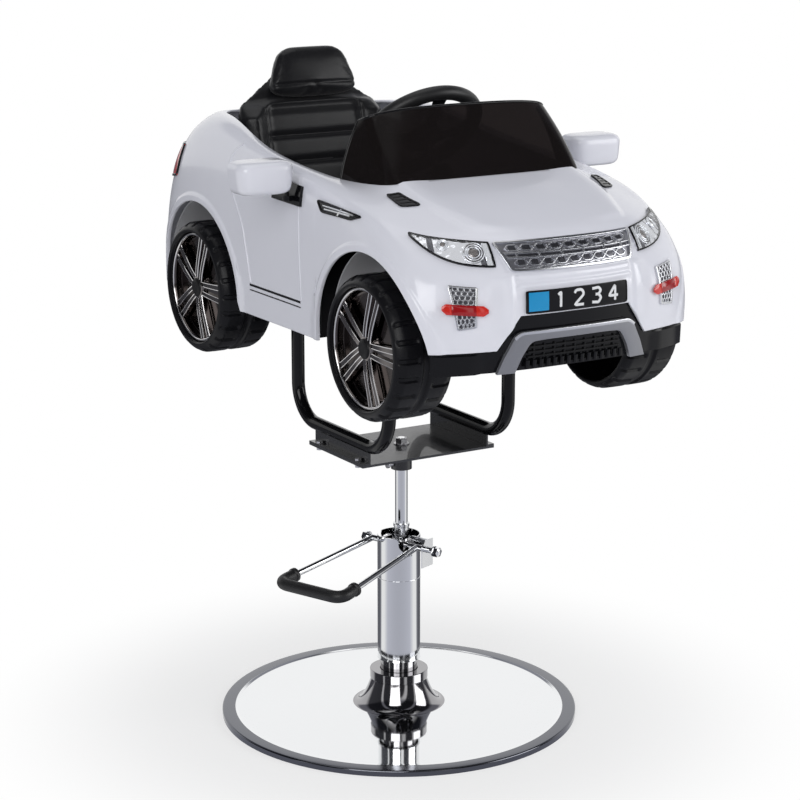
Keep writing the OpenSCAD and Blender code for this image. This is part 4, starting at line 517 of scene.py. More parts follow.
def finish_node(node: str, finish: Finish, bevel: float = 0.0) -> bpy.types.Object:
    """Dresses a CAD node by a merged copy of its mesh, smooth but for its real edges.

    Args:
        node: the CAD node.
        finish: its surface finish.
        bevel: width of the rounding on its edges, in metres.

    Returns:
        The piece that stands for the node.
    """
    source = frame["nodes"][node]
    o = bpy.data.objects.new(f"{node}_finished", source.data.copy())
    bm = bmesh.new()
    bm.from_mesh(o.data)
    bmesh.ops.remove_doubles(bm, verts=bm.verts, dist=1e-6)
    bmesh.ops.dissolve_limit(bm, angle_limit=0.002, verts=bm.verts, edges=bm.edges)
    bm.to_mesh(o.data)
    bm.free()
    if o.data.has_custom_normals:
        o.data.attributes.remove(o.data.attributes["custom_normal"])
    dress(o, finish, source["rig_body"], [node], 32)
    if bevel:
        mod = o.modifiers.new("edge", "BEVEL")
        mod.width = bevel
        mod.segments = 2
        mod.limit_method = "ANGLE"
        mod.angle_limit = math.radians(40)
        mod.harden_normals = False
    return o


def between(corners: Array, f: float | Array, g: float | Array) -> Array:
    """Returns the places at share f along and g up between four corners, given once round from the first."""
    a, b, c, d = corners
    return (1 - g) * ((1 - f) * a + f * b) + g * ((1 - f) * d + f * c)


def border(p: Array) -> Array:
    """Returns the points round the outside of a grid, once round."""
    return np.concatenate([p[:, 0], p[-1, 1:], p[-2::-1, -1], p[0, -2:0:-1]])


@dataclass
class Skin:
    """The car's outer surface: a cage of stations and levels under a cubic B-spline both ways."""

    half_w: float = 250.0
    nose: float = 495.0
    tail: float = 440.0
    sill_z: float = 698.0
    waist: float = 250.0
    arch_r: float = 145.0
    axle_z: float = 712.0
    axles: tuple[float, float] = (-304.0, 248.0)
    cage: Array = field(default_factory=lambda: np.array([
        [[0, -.985, 0], [0, -.995, .17], [0, -1, .42], [0, -.99, .58],
         [0, -.925, .745], [0, -.86, .8], [0, -.68, .92], [0, -.52, .985]],
        [[.3, -.983, 0], [.3, -.992, .17], [.3, -.997, .42], [.3, -.985, .58],
         [.31, -.922, .745], [.31, -.86, .797], [.28, -.68, .915], [.26, -.52, .985]],
        [[.58, -.965, 0], [.58, -.972, .17], [.58, -.972, .42], [.56, -.938, .59],
         [.555, -.882, .745], [.545, -.828, .795], [.52, -.67, .91], [.48, -.52, .985]],
        [[.87, -.925, 0], [.87, -.93, .17], [.865, -.92, .42], [.835, -.88, .6],
         [.79, -.81, .755], [.76, -.76, .8], [.7, -.64, .9], [.62, -.52, .98]],
        [[1, -.87, 0], [1.005, -.872, .17], [1.01, -.86, .44], [.985, -.81, .63],
         [.905, -.73, .77], [.855, -.69, .815], [.78, -.61, .895], [.69, -.505, .972]],
        [[1, -.69, 0], [1.005, -.69, .17], [1.015, -.69, .44], [1.01, -.68, .67],
         [.975, -.65, .82], [.925, -.62, .865], [.84, -.54, .92], [.735, -.44, .965]],
        [[.99, -.46, 0], [.995, -.46, .17], [1.005, -.46, .44], [1.005, -.46, .7],
         [.985, -.45, .88], [.955, -.43, .93], [.88, -.38, .965], [.79, -.34, .965]],
        [[.98, -.2, 0], [.985, -.2, .17], [.995, -.2, .44], [.995, -.2, .72],
         [.97, -.2, .93], [.94, -.2, .99], [.88, -.2, 1.005], [.83, -.2, .985]],
        [[.98, .15, 0], [.985, .15, .17], [.995, .15, .44], [.995, .15, .74],
         [.965, .15, .98], [.93, .15, 1.05], [.875, .15, 1.065], [.83, .15, 1.045]],
        [[.985, .45, 0], [.99, .45, .17], [1, .45, .46], [.995, .45, .78],
         [.955, .45, 1.06], [.9, .44, 1.15], [.84, .42, 1.18], [.78, .4, 1.165]],
        [[.98, .72, 0], [.985, .72, .17], [.99, .71, .46], [.98, .69, .78],
         [.93, .655, 1.06], [.855, .625, 1.16], [.77, .59, 1.195], [.7, .58, 1.185]],
        [[.955, .89, 0], [.96, .89, .17], [.96, .875, .46], [.94, .845, .76],
         [.88, .78, 1.02], [.785, .735, 1.13], [.71, .725, 1.185], [.64, .73, 1.18]],
        [[.84, .975, 0], [.84, .98, .17], [.83, .965, .46], [.8, .93, .75],
         [.74, .855, 1], [.645, .8, 1.11], [.55, .78, 1.18], [.46, .765, 1.175]],
        [[.45, 1, 0], [.45, 1.005, .17], [.45, .99, .46], [.44, .955, .75],
         [.41, .875, .99], [.365, .815, 1.1], [.31, .79, 1.17], [.25, .77, 1.17]],
        [[0, 1, 0], [0, 1.005, .17], [0, .99, .46], [0, .955, .75],
         [0, .875, .99], [0, .815, 1.1], [0, .79, 1.17], [0, .77, 1.17]]]))

    def __post_init__(self) -> None:
        """Scales the cage to millimetres and adds the ghost stations and levels that end its spline."""
        c = self.cage * [self.half_w, 1, self.waist]
        c[..., 1] *= np.where(c[..., 1] < 0, self.nose, self.tail)
        c[..., 2] += self.sill_z
        flip = np.array([-1, 1, 1])
        c = np.concatenate([c[1:2] * flip, c, c[-2:-1] * flip])
        self.net = np.concatenate([2 * c[:, :1] - c[:, 1:2], c, 2 * c[:, -1:] - c[:, -2:-1]], axis=1)

    @staticmethod
    def weights(f: Array) -> Array:
        """Returns the four weights of a uniform cubic B-spline at fraction f of a span."""
        return np.array([(1 - f) ** 3, 3 * f**3 - 6 * f**2 + 4, -3 * f**3 + 3 * f**2 + 3 * f + 1, f**3]) / 6

    def at(self, t: Array, v: Array) -> Array:
        """Finds points of the surface.

        Args:
            t: station, 0 at the nose to 14 at the tail, negative on the car's right.
            v: level, 0 at the sill to 7 at the cockpit's rim.

        Returns:
            Points in millimetres from the ram's axis.
        """
        t, v = np.broadcast_arrays(np.asarray(t, float), np.asarray(v, float))
        s = np.abs(t)
        i = np.clip(np.floor(s), 0, 13).astype(int)
        k = np.clip(np.floor(v), 0, 6).astype(int)
        a, b = self.weights(s - i), self.weights(v - k)
        four = range(4)
        p = sum(a[m][..., None] * b[n][..., None] * self.net[i + m, k + n] for m in four for n in four)
        return p * self.mirror(t)

    @staticmethod
    def mirror(t: Array) -> Array:
        """Returns (-1, 1, 1) for stations on the car's right and (1, 1, 1) for the others."""
        return np.stack([np.where(t < 0, -1, 1), np.ones_like(t), np.ones_like(t)], -1)

    def normal(self, t: Array, v: Array) -> Array:
        """Returns the outward normal at stations t and levels v."""
        h = 0.02
        return unit(np.cross(self.at(t + h, v) - self.at(t - h, v), self.at(t, v + h) - self.at(t, v - h)))

    def off(self, t: Array, v: Array, d: float | Array) -> Array:
        """Returns points d millimetres outside the surface."""
        t, v = np.broadcast_arrays(np.asarray(t, float), np.asarray(v, float))
        return self.at(t, v) + np.asarray(d, float)[..., None] * self.normal(t, v)

    def edge_z(self, p: Array) -> Array:
        """Returns the height of the white body's lower edge at points p, over opening, arches and sills."""
        x, y = np.abs(p[..., 0]), p[..., 1]
        z = np.full(x.shape, 0.0)
        z = np.where(y < -0.8 * self.nose, 31 + 49 * np.clip((132 - x) / 36, 0, 1), z)
        z = np.where(y > 0.91 * self.tail, 4.0, z)
        for c in self.axles:
            arch = 14 + np.sqrt(np.clip(self.arch_r**2 - (y - c) ** 2, 0, None))
            z = np.maximum(z, np.where(abs(y - c) < self.arch_r, arch, 0))
        return z + self.sill_z

    def columns(self) -> Array:
        """Returns stations from the nose to the tail, close together over each wheel arch."""
        knee = solve(lambda t: self.at(t, 1)[..., 0] - 96, 0.0, 4.0)
        step = solve(lambda t: self.at(t, 1)[..., 0] - 132, 0.0, 4.0)
        a = np.radians(np.linspace(0, 180, 73))
        y = np.concatenate([self.axles[0] - self.arch_r * np.cos(a), self.axles[1] - self.arch_r * np.cos(a)])
        sills = np.linspace(self.axles[0] + self.arch_r, self.axles[1] - self.arch_r, 32)[1:-1]
        y = np.sort(np.concatenate([y, sills]))
        side = solve(lambda t: self.at(t, 1)[..., 1] - y, np.full(y.shape, 3.0), np.full(y.shape, 13.0))
        stops = [(0, knee, 26), (knee, step, 14), (step, side[0], 26)]
        front = np.concatenate([[0.0], *(np.linspace(*stop)[1:] for stop in stops)])
        return np.concatenate([front, side[1:], np.linspace(side[-1], 14, 40)[1:]])

    def start(self, t: Array) -> Array:
        """Returns the level at which each station crosses the lower edge."""
        def above(v: Array) -> Array:
            p = self.at(t, v)
            return p[..., 2] - self.edge_z(p)

        cross = solve(above, np.zeros_like(t), np.full_like(t, 5.0))
        return np.where(above(0.0 * t) >= 0, 0.0, cross)

    def ribbon(
        self, line: Sequence[Sequence[float]], width: float, low: float, high: float, closed: bool = False,
        count: int = 80, soft: float = 0.35, radius: float = 0.0,
    ) -> Form:
        """Carries a rounded bar's section along a line drawn on the surface.

        Args:
            line: corners as [station, level].
            width: width of the bar.
            low: its lower face above the surface.
            high: its upper face above the surface.
            closed: whether the line returns to its start.
            count: stations along the line.
            soft: share of the half width that is rounded off.
            radius: rounding of the line's corners, in stations and levels.

        Returns:
            The bar's surface.
        """
        q = fillet(line, radius, 5, closed) if radius else np.array(line, float)
        q = spread(q, count, closed)
        p, n = self.at(q[:, 0], q[:, 1]), self.normal(q[:, 0], q[:, 1])
        along = heading(p, closed)
        side = unit(np.cross(n, along))
        w, r = width / 2, width / 2 * soft
        r = min(r, (high - low) * 0.8)
        a = np.linspace(0, math.pi / 2, 4)
        across = np.concatenate([[-w], -w + r - r * np.cos(a), w - r + r * np.sin(a), [w]])
        rise = np.concatenate([[low], high - r + r * np.sin(a), high - r + r * np.cos(a), [low]])
        ring = p[:, None] + across[None, :, None] * side[:, None] + rise[None, :, None] * n[:, None]
        return Form().grid(ring, round_u=closed, round_v=True, caps=not closed)

    def patch(
        self, corners: Sequence[Sequence[float]], low: float, high: float, cols: int = 24, rows: int = 12,
        dome: float = 0.0,
    ) -> Form:
        """Lays a plate on the surface between four corners, crowned by dome at its middle.

        Args:
            corners: low inner, low outer, top outer and top inner corner as [station, level].
            low: its back above the surface.
            high: its face above the surface at the rim.
            cols: faces along it.
            rows: faces up it.
            dome: extra height at the middle.

        Returns:
            The plate's surface.
        """
        f, g = np.linspace(0, 1, cols + 1)[:, None, None], np.linspace(0, 1, rows + 1)[None, :, None]
        return self.plate(between(np.array(corners, float), f, g), low, high, dome)

    def plate(self, q: Array, low: float, high: float, dome: float | Array = 0.0) -> Form:
        """Makes a closed plate over [station, level] places, crowned by dome * sqrt(16 f(1-f) g(1-g))."""
        n, m = q.shape[:2]
        f, g = np.linspace(0, 1, n)[:, None], np.linspace(0, 1, m)[None]
        crown = dome * np.sqrt(16 * f * (1 - f) * g * (1 - g)) if np.isscalar(dome) else dome
        face = self.off(q[..., 0], q[..., 1], high + crown)
        back = self.off(q[..., 0], q[..., 1], np.full((n, m), low))
        form = Form().grid(face).grid(back)
        return form.grid(np.stack([border(face), border(back)], 1), round_u=True)


SKIN = Skin()
PEDAL_ALONG = np.array([math.cos(math.radians(201.4)), math.sin(math.radians(201.4)), 0.0])
PEDAL_ACROSS = np.array([PEDAL_ALONG[1], -PEDAL_ALONG[0], 0.0])


def both(make: Callable[[int], Form]) -> Form:
    """Joins what a function makes for the car's left (+1) and right (-1)."""
    return make(1).join(make(-1))


def flipped(line: Sequence[Sequence[float]], side: int) -> Array:
    """Returns [station, level] places on the wanted side of the car."""
    return np.array(line, float) * [side, 1]


@dataclass
class Base:
    """Dished chrome base with its trumpet hub, floor ring, pump, cover and gland."""

    radius: float = 300.0
    rim_h: float = 10.0
    rim_w: float = 25.0
    step: float = 2.0
    rise: float = 5.0
    foot_r: float = 78.0
    top_r: float = 47.0
    hub_h: float = 57.0
    bore_r: float = 22.0
    sheet: float = 2.0
    round_r: float = 3.0
    power: float = 2.2
    sides: int = 180
    pressed: float = 0.8

    def build(self) -> None:
        """Builds the spun base and dresses the pump."""
        self.spun()
        for node in ("base_weight", "pump_bolts", "pump_plunger", "piston_head"):
            finish_node(node, STEEL)
        spring = finish_node("plunger_spring", STEEL)
        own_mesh(spring)
        for node in ("floor_ring", "piston_seal"):
            finish_node(node, RUBBER)
        for node, finish, bevel in (
            # flange and body: chrome painted dark, a painted dark reflection and shade at the neck
            ("pump_flange", HUB_CHROME_PAINTED_DARK, 0.0012), ("pump_body", HUB_CHROME_PAINTED_DARK, 0.0006),
            ("pump_cover", CHROME, 0.0), ("ram_gland", BRUSHED_CHROME, 0.0004),
            ("shaft_bracket", BRUSHED_CHROME, 0.0003), ("ram_rod", CHROME, 0.0),
        ):
            finish_node(node, finish, bevel)

    def spun(self) -> None:
        """Turns the base: height dish + rise, then the trumpet (hub - dish) f^power, f from foot to top."""
        f = np.linspace(0, 1, 40)
        r = self.foot_r + (self.top_r - self.foot_r) * f
        dish = self.rim_h - self.step
        z = dish + self.rise + (self.hub_h - dish - self.rise) * f**self.power
        edge, high, thick = self.radius, self.rim_h, self.sheet
        lip, crest = edge - self.rim_w, edge - self.rim_w + self.round_r
        a = np.linspace(0, math.pi / 2, 8)
        roll = np.stack([edge + self.round_r * (np.cos(a) - 1), high + self.round_r * (np.sin(a) - 1)], -1)
        g = np.linspace(0, 1, 10)
        step = np.stack([crest - 5 * g, high - self.step * ramp(g, 0, 1)], -1)
        floor = np.stack([np.linspace(lip - 2, self.foot_r, 24)[1:], np.linspace(dish, z[0], 24)[1:]], -1)
        under = [[self.foot_r, z[0] - thick], [lip, dish - thick], [lip + self.step, high - thick],
                 [crest, high - thick]]
        top, back = np.stack([r, z], -1), np.stack([r - thick, z - thick], -1)[::-1]
        neck = [[self.bore_r, self.hub_h], [self.bore_r, self.hub_h - thick]]
        back_rim = [[crest, high], [crest, high - thick], [edge - thick, high - thick], [edge - thick, 0.0]]
        body = frame["nodes"]["base_disc"]["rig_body"]
        for name, profile, finish, node in (
            ("spun base", [step, floor, under], CHROME, ["base_disc"]),
            # the trumpet hub's dark grey chrome is a painted dark reflection
            ("base hub painted dark reflection", [top, neck, back], HUB_CHROME_PAINTED_DARK, ()),
            # the edge ring's near-black chrome is a painted dark reflection
            ("base edge painted dark reflection", [[[edge, 0.0]], roll, back_rim], RING_CHROME_PAINTED_DARK, ()),
        ):
            put(name, Form().lathe(np.vstack(profile), self.sides), finish, body, node, 40, local=True)


@dataclass
class Pedal:
    """Bent foot bar with its ribbed rubber grip, shaft, rocker and nuts."""

    reach: float = 236.0
    half: float = 65.5
    root: float = 46.0
    low_z: float = 272.0
    shaft_p: float = 12.0
    shaft_z: float = 297.0
    bar_r: float = 5.0
    grip_r: float = 10.0
    corner: float = 22.0
    cover: float = 24.0

    def line(self) -> Array:
        """Returns the bar's rounded middle line from one arm's end to the other, in millimetres."""
        corners = [[self.shaft_p, -self.root, self.shaft_z], [self.reach, -self.half, self.low_z],
                   [self.reach, self.half, self.low_z], [self.shaft_p, self.root, self.shaft_z]]
        q = fillet(corners, self.corner, 14)
        q = np.vstack([spread(q[:2], 10)[:-1], q[1:-1], spread(q[-2:], 10)[1:]])
        return q[:, :1] * PEDAL_ALONG + q[:, 1:2] * PEDAL_ACROSS + q[:, 2:] * [0, 0, 1]

    def build(self) -> None:
        """Builds the bar and the grip and dresses the rest."""
        body = frame["nodes"]["pedal_bar"]["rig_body"]
        path = self.line()
        put("foot bar", Form().tube(path, self.bar_r, 28), CHROME, body, ["pedal_bar"], local=True)
        s = np.concatenate([[0], np.cumsum(np.linalg.norm(np.diff(path, axis=0), axis=1))])
        arm = math.dist((self.shaft_p, -self.root, self.shaft_z), (self.reach, -self.half, self.low_z))
        start = arm - self.corner - self.cover + 4
        at = np.linspace(start, s[-1] - start, 150)
        middle = np.stack([np.interp(at, s, path[:, k]) for k in range(3)], -1)
        end = np.minimum(at - at[0], at[-1] - at)
        r = self.grip_r + 1.5 * ramp(8 - end, 0, 1.2) - 2.2 * ramp(1.5 - end, 0, 1.5) ** 2
        form = Form().tube(middle, r, 36)
        inner = Form().tube(middle, self.bar_r + 0.05, 24)
        put("pedal sleeve", form.join(inner), RUBBER, body, ["pedal_grip"], 40, local=True)
        finish_node("pedal_shaft", CHROME)
        finish_node("rocker_arm", STEEL, 0.0005)
        finish_node("pedal_nuts", CHROME, 0.0004)


@dataclass
class Carrier:
    """Collar, plate, rails and bent tubes between the ram and the car."""

    def build(self) -> None:
        """Dresses the carrier's CAD pieces."""
        for node, finish, bevel in (
            ("hub_collar", BLACK_PAINT, 0.0006), ("plate_fasteners", STEEL, 0.0003),
            ("seat_plate", GREY_PAINT, 0.0006), ("rails", BLACK_PAINT, 0.0004),
            ("carrier_tubes", BLACK_GLOSS, 0.0), ("tube_feet", BLACK_PAINT, 0.0004),
            ("chassis_pan", BLACK_PLASTIC, 0.001),
        ):
            finish_node(node, finish, bevel)


@dataclass
class Body:
    """White shell of the toy car with everything that is set into its skin."""

    wall: float = 4.0
    rows: int = 100
    lip: float = 2.2
    lip_w: float = 9.0
    crease: float = 3.4
    bevel: float = 13.0
    ribs: tuple[tuple[float, float], ...] = ((2.36, 2.53), (2.6, 2.84))
    rib: float = 2.0
    cheek: float = 3.2
    fold: tuple[tuple[float, float], ...] = (
        (2.98, 7.0), (2.7, 6.37), (2.5, 5.85), (2.2, 5.42), (1.92, 4.85), (1.75, 4.4)
    )
    lift: float = 0.3

    def build(self) -> None:
        """Builds the shell, the bumper, the trims, the lamps, the vents and the windscreen."""
        self.body = frame["nodes"]["body_shell"]["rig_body"]
        self.shell()
        self.bumper()
        self.skid()
        self.grille()
        self.plate()
        self.headlamps()
        self.fog()
        self.vents()
        self.windscreen()
        self.tail_lamps()
        self.seams()
        # wheel liners: white plastic painted grey as shade in the arches
        finish_node("wheel_liners", SHADED_SHELL)
        finish_node("dashboard", BLACK_PLASTIC, 0.002)

    def put(
        self, name: str, form: Form, finish: Finish, replaces: Sequence[str] = (), sharp: float = 38.0
    ) -> None:
        """Puts a piece of the car on the car's body."""
        put(name, form, finish, self.body, replaces, sharp)

    def relief(self, t: Array, v: Array, p: Array) -> Array:
        """Works out how far the paint stands off the plain surface.

        The arches get lip * smooth(1 - d / lip_w) for the distance d outside their edge, the bonnet gets a
        raised middle whose edges fall off over the bevel, and the nose gets two flat ribs under the grille
        and a raised cheek at each end of them.

        Args:
            t: stations.
            v: levels.
            p: the surface's points.

        Returns:
            The offset in millimetres.
        """
        out = np.zeros(p.shape[:-1])
        for c in SKIN.axles:
            d = np.hypot(p[..., 1] - c, p[..., 2] - SKIN.axle_z) - SKIN.arch_r
            near = (np.abs(p[..., 0]) > 0.7 * SKIN.half_w) & (p[..., 2] < SKIN.sill_z + 0.7 * SKIN.waist)
            out = np.maximum(out, self.lip * ramp(self.lip_w + 5 - d, 0, 5) * near)
        fold = spread(fillet(self.fold, 0.4), 60)
        line = SKIN.at(fold[:, 0], fold[:, 1])
        q = p.reshape(-1, 3).copy()
        q[:, 0] = np.abs(q[:, 0])
        near = (v.ravel() > 4.3) & (np.abs(t.ravel()) < 4.5)
        gap = np.full(len(q), 1e3)
        if near.any():
            gap[near] = np.linalg.norm(q[near, None] - line[None], axis=2).min(1)
        gap = gap.reshape(out.shape)
        outside = np.abs(t) > np.interp(v, fold[::-1, 1], fold[::-1, 0])
        raised = np.where(outside, ramp(self.bevel - gap, 0, self.bevel), bump(gap, 38.0))
        out += self.crease * raised * ramp(v, 4.5, 4.9)
        for low, high in self.ribs:
            flat = ramp(v, low, low + 0.05) * ramp(high - v, 0, 0.05)
            out += self.rib * flat * ramp(1.4 - np.abs(t), 0, 0.06)
        cheek = ramp(np.abs(t), 1.4, 1.5) * ramp(2.02 - np.abs(t), 0, 0.45)
        out += self.cheek * cheek * ramp(v, 1.0, 1.35) * ramp(2.92 - v, 0, 0.2)
        return out

    def shell(self) -> None:
        """Builds the shell as one closed sheet: outer face, round rim, inner face and round lower edge."""
        half = SKIN.columns()
        t = np.concatenate([-half[:0:-1], half[:-1]])
        low = SKIN.start(t)
        f = np.linspace(0, 1, self.rows)
        f = f * (0.6 + 0.4 * f)
        v = low[:, None] + (7 - low[:, None]) * f[None]
        tt = np.broadcast_to(t[:, None], v.shape)
        p, n = SKIN.at(tt, v), SKIN.normal(tt, v)
        d = self.relief(tt, v, p)
        outer = p + d[..., None] * n
        inner = p - self.wall * n
        up = unit(p[:, -1] - p[:, -2])
        down = unit(p[:, 0] - p[:, 1])
        r = self.wall / 2
        a = np.linspace(0, math.pi, 7)[None, 1:-1, None]
        top = n[:, -1][:, None]
        rim = (p[:, -1] - r * n[:, -1])[:, None] + r * np.cos(a) * top + r * np.sin(a) * up[:, None]
        foot_r = (self.wall + d[:, :1, None]) / 2
        foot_mid = (outer[:, 0] + inner[:, 0])[:, None] / 2
        a = np.linspace(math.pi, 0, 5)[None, 1:-1, None]
        foot = foot_mid + foot_r * np.cos(a) * n[:, 0][:, None] + 0.4 * foot_r * np.sin(a) * down[:, None]
        ring = np.concatenate([outer, rim, inner[:, ::-1][:, ::3], inner[:, :1], foot], 1)
        self.put("white shell", Form().grid(ring, True, True), WHITE_SHELL, ["body_shell"], 50)

    def bumper(self) -> None:
        """Builds the black lower nose: a sheet behind the opening with its slats, ending in a toothed lip."""
        finish_node("front_bumper", BLACK_GLOSS)
        teeth, slats = Form(), Form()
        for t in np.linspace(-1.12, 1.12, 15):
            teeth.join(SKIN.ribbon([[t, 0.02], [t, 0.3]], 6.5, -1.0, 2.4, count=4))
        for v in (0.38, 0.54, 0.7):
            slats.join(SKIN.ribbon([[-1.1, v], [1.1, v]], 3.2, -6.0, -1.6, count=40))
        for t in np.linspace(-0.96, 0.96, 9):
            slats.join(SKIN.ribbon([[t, 0.32], [t, 0.78]], 2.6, -6.0, -2.2, count=6))
        self.put("lip teeth", teeth, BLACK_GLOSS)
        self.put("intake slats", slats, BLACK_PLASTIC)

    def skid(self) -> None:
        """Builds the bright inverted U with splayed legs round the lower opening."""
        top = np.array([[1.8, -.1], [1.66, .45], [1.44, 1.04], [1.3, 1.18], [.7, 1.18]])
        low = np.array([[1.4, -.1], [1.26, .45], [1.12, .78], [1.04, .9], [.7, .93]])
        whole = lambda s: np.vstack([s, (s * [-1, 1])[::-1]])
        a = spread(fillet(whole(top), 0.12, 6), 120)
        b = spread(fillet(whole(low), 0.12, 6), 120)
        g = np.linspace(0, 1, 9)[None, :, None]
        q = (1 - g) * b[::-1][:, None] + g * a[::-1][:, None]
        self.put("skid trim", SKIN.plate(q, -4.6, 2.2, 1.2), SILVER, ["skid_trim"], 40)
        bar = np.vstack([top[2:], (top[2:] * [-1, 1])[::-1]]) - [0, 0.025]
        self.put("skid flange", SKIN.ribbon(bar, 5.0, 1.6, 3.4, count=100, radius=0.1), BRIGHT_TRIM)

    def grille(self) -> None:
        """Builds the grille: frame, two honeycomb bands of nine cells and a slotted middle bar."""
        low, top = (1.44, 2.95), (1.68, 3.93)
        corners = [[-low[0], low[1]], [low[0], low[1]], [top[0], top[1]], [-top[0], top[1]]]
        half = lambda v: low[0] + (top[0] - low[0]) * (v - low[1]) / (top[1] - low[1])
        self.put("grille backing", SKIN.patch(corners, self.lift, 1.0, 30, 6), GRILLE_GREY, ["grille"])
        bars = SKIN.ribbon(corners, 4.6, 0.6, 4.6, True, 200, radius=0.08)
        slots = Form()
        for v in (3.35, 3.5):
            bars.join(SKIN.ribbon([[-half(v) + .03, v], [half(v) - .03, v]], 2.6, 0.8, 4.2, count=60))
        slots.join(SKIN.patch([[-half(3.36) + .1, 3.37], [half(3.36) - .1, 3.37], [half(3.48) - .1, 3.48],
                               [-half(3.48) + .1, 3.48]], 0.8, 1.6, 40, 2))
        for k in range(6):
            t = (k - 2.5) * half(3.4) * 2 / 6.2
            bars.join(SKIN.ribbon([[t, 3.34], [t, 3.51]], 3.0, 1.0, 4.4, count=4))
        for v in (3.7, 3.2):
            pitch = (half(v) - 0.1) * 2 / 9.4
            w, h = pitch * 0.5, 0.105
            for k in range(9):
                t = (k - 4) * pitch
                ring = [[t - w, v], [t - w * .5, v + h], [t + w * .5, v + h], [t + w, v], [t + w * .5, v - h],
                        [t - w * .5, v - h]]
                bars.join(SKIN.ribbon(ring, 1.7, 0.8, 3.2, True, 30))
                q = np.array(ring)
                slots.join(SKIN.patch([q[5], q[4], q[2], q[1]], 0.8, 1.5, 3, 3))
                if k < 8:
                    m, foot, peak = t + pitch / 2, v - h * 1.75, v - h * 1.35
                    arrow = [[m - w * .8, foot], [m, peak], [m + w * .8, foot]]
                    bars.join(SKIN.ribbon(arrow, 1.6, 0.8, 3.0, count=10))
        self.put("grille bars", bars, BRIGHT_TRIM)
        self.put("grille cells", slots, DARK_TRIM)

    def plate(self) -> None:
        """Builds the number plate: black plate, raised rim, blue strip and four plain digits."""
        t, low, top = 1.2, 1.66, 2.26
        corners = [[-t, low], [t, low], [t, top], [-t, top]]
        self.put("plate face", SKIN.patch(corners, self.lift, 2.5, 30, 4), BLACK_GLOSS, ["number_plate"])
        self.put("plate rim", SKIN.ribbon(corners, 2.0, 2.0, 3.3, True, 120, radius=0.05), BLACK_GLOSS)
        strip = [[-t + .05, low + .04], [-t + .5, low + .04], [-t + .5, top - .04], [-t + .05, top - .04]]
        self.put("plate strip", SKIN.patch(strip, 2.2, 2.9, 8, 4), BLUE_STRIP)
        strokes = {
            "1": [[[.25, .8], [.5, 1], [.5, 0]]],
            "2": [[[.08, .8], [.25, 1], [.75, 1], [.92, .8], [.92, .62], [.08, 0], [.95, 0]]],
            "3": [[[.08, .95], [.7, 1], [.92, .78], [.7, .53], [.4, .53]],
                  [[.7, .53], [.95, .28], [.7, 0], [.08, .05]]],
            "4": [[[.7, 0], [.7, 1], [.05, .3], [.98, .3]]],
        }
        digits = Form()
        for k, digit in enumerate("1234"):
            x0 = -0.55 + k * 0.42
            for line in strokes[digit]:
                q = np.array(line) * [0.25, 0.42] + [x0, low + 0.09]
                digits.join(SKIN.ribbon(q, 4.2, 2.2, 3.1, count=26, radius=0.03))
        self.put("plate digits", digits, DIGIT_WHITE)

    def lamp_places(self, side: int, cols: int, rows: int, inset: float = 0.0) -> Array:
        """Returns the lamp's grid: levels between the curve 3.08 + 1.05 f^2.6 and the line 3.94 + 0.27 f."""
        f = np.linspace(inset, 1 - inset * 0.6, cols)
        t = 1.76 + 1.9 * f
        a, b = 3.08 + 1.05 * f**2.6, 3.94 + 0.27 * f
        g = np.linspace(inset, 1 - inset, rows)
        v = a[:, None] + (b - a)[:, None] * g[None]
        q = np.stack([np.broadcast_to(t[:, None], v.shape), v], -1)
        return q * [side, 1]

    def lamp_part(self, share: tuple[float, float], high: float) -> Form:
        """Returns a plate on both lamps, over the part between two shares of their length."""
        a, b = (int(round(120 * x)) for x in share)
        return both(lambda s: SKIN.plate(self.lamp_places(s, 121, 14, 0.03)[a:b + 1], self.lift, high))

    def headlamps(self) -> None:
        """Builds each headlamp: fluted bowl, frame, dark bands, bright strip, two projectors and a cover."""
        def bowl(side: int) -> Form:
            q = self.lamp_places(side, 140, 16)
            f = np.linspace(0, 1, 140)[:, None]
            g = np.linspace(0, 1, 16)[None]
            flutes = 0.9 * np.abs(np.sin(math.pi * (9 * f + 1.5 * g))) + 0.5 * np.abs(np.sin(4 * math.pi * g))
            return SKIN.plate(q, self.lift, 1.4, flutes)

        self.put("lamp bowls", both(bowl), LAMP_BOWL, ["headlamps"])
        rim = lambda s: border(self.lamp_places(s, 60, 16, .012))
        self.put("lamp frames", both(lambda s: SKIN.ribbon(rim(s), 2.6, 0.8, 4.4, True, 180)), BLACK_GLOSS)
        bands = self.lamp_part((0.07, 0.13), 3.2).join(self.lamp_part((0.66, 0.74), 2.8))
        self.put("lamp bands", bands, DARK_TRIM)
        self.put("lamp strips", self.lamp_part((0.0, 0.06), 3.4), BRIGHT_TRIM)
        cover = lambda s: SKIN.plate(self.lamp_places(s, 60, 16, 0.03), 4.6, 5.1, 1.2)
        self.put("lamp covers", both(cover), CLEAR_LENS)
        rings, glass = Form(), Form()
        for side in (1, -1):
            for t, v, r in ((2.16, 3.54, 15.5), (2.78, 3.8, 8.5)):
                p = SKIN.at(side * t, v)
                n = SKIN.normal(side * t, v)
                x = unit(np.cross([0, 0, 1.0], n))
                turn = np.stack([x, np.cross(n, x), n], 1)
                a = turns(16)
                for share in (1.0, 0.78, 0.56):
                    height = 3.0 + 1.2 * (1 - share)
                    wire = np.stack([r * share + 0.9 * np.cos(a), height + 0.9 * np.sin(a)], -1)
                    rings.join(Form().lathe(wire, 48).moved(turn, p))
                b = np.linspace(0, math.pi / 2, 10)
                dome = np.stack([np.maximum(r * 0.5 * np.cos(b), 0.01), 1.6 + 2.6 * np.sin(b)], -1)
                eye = np.vstack([[[0.01, 1.2], [r, 1.2], [r, 2.6]], dome])
                glass.join(Form().lathe(eye, 40).moved(turn, p))
        self.put("lamp rings", rings, BRIGHT_TRIM)
        self.put("lamp eyes", glass, DARK_CHROME)

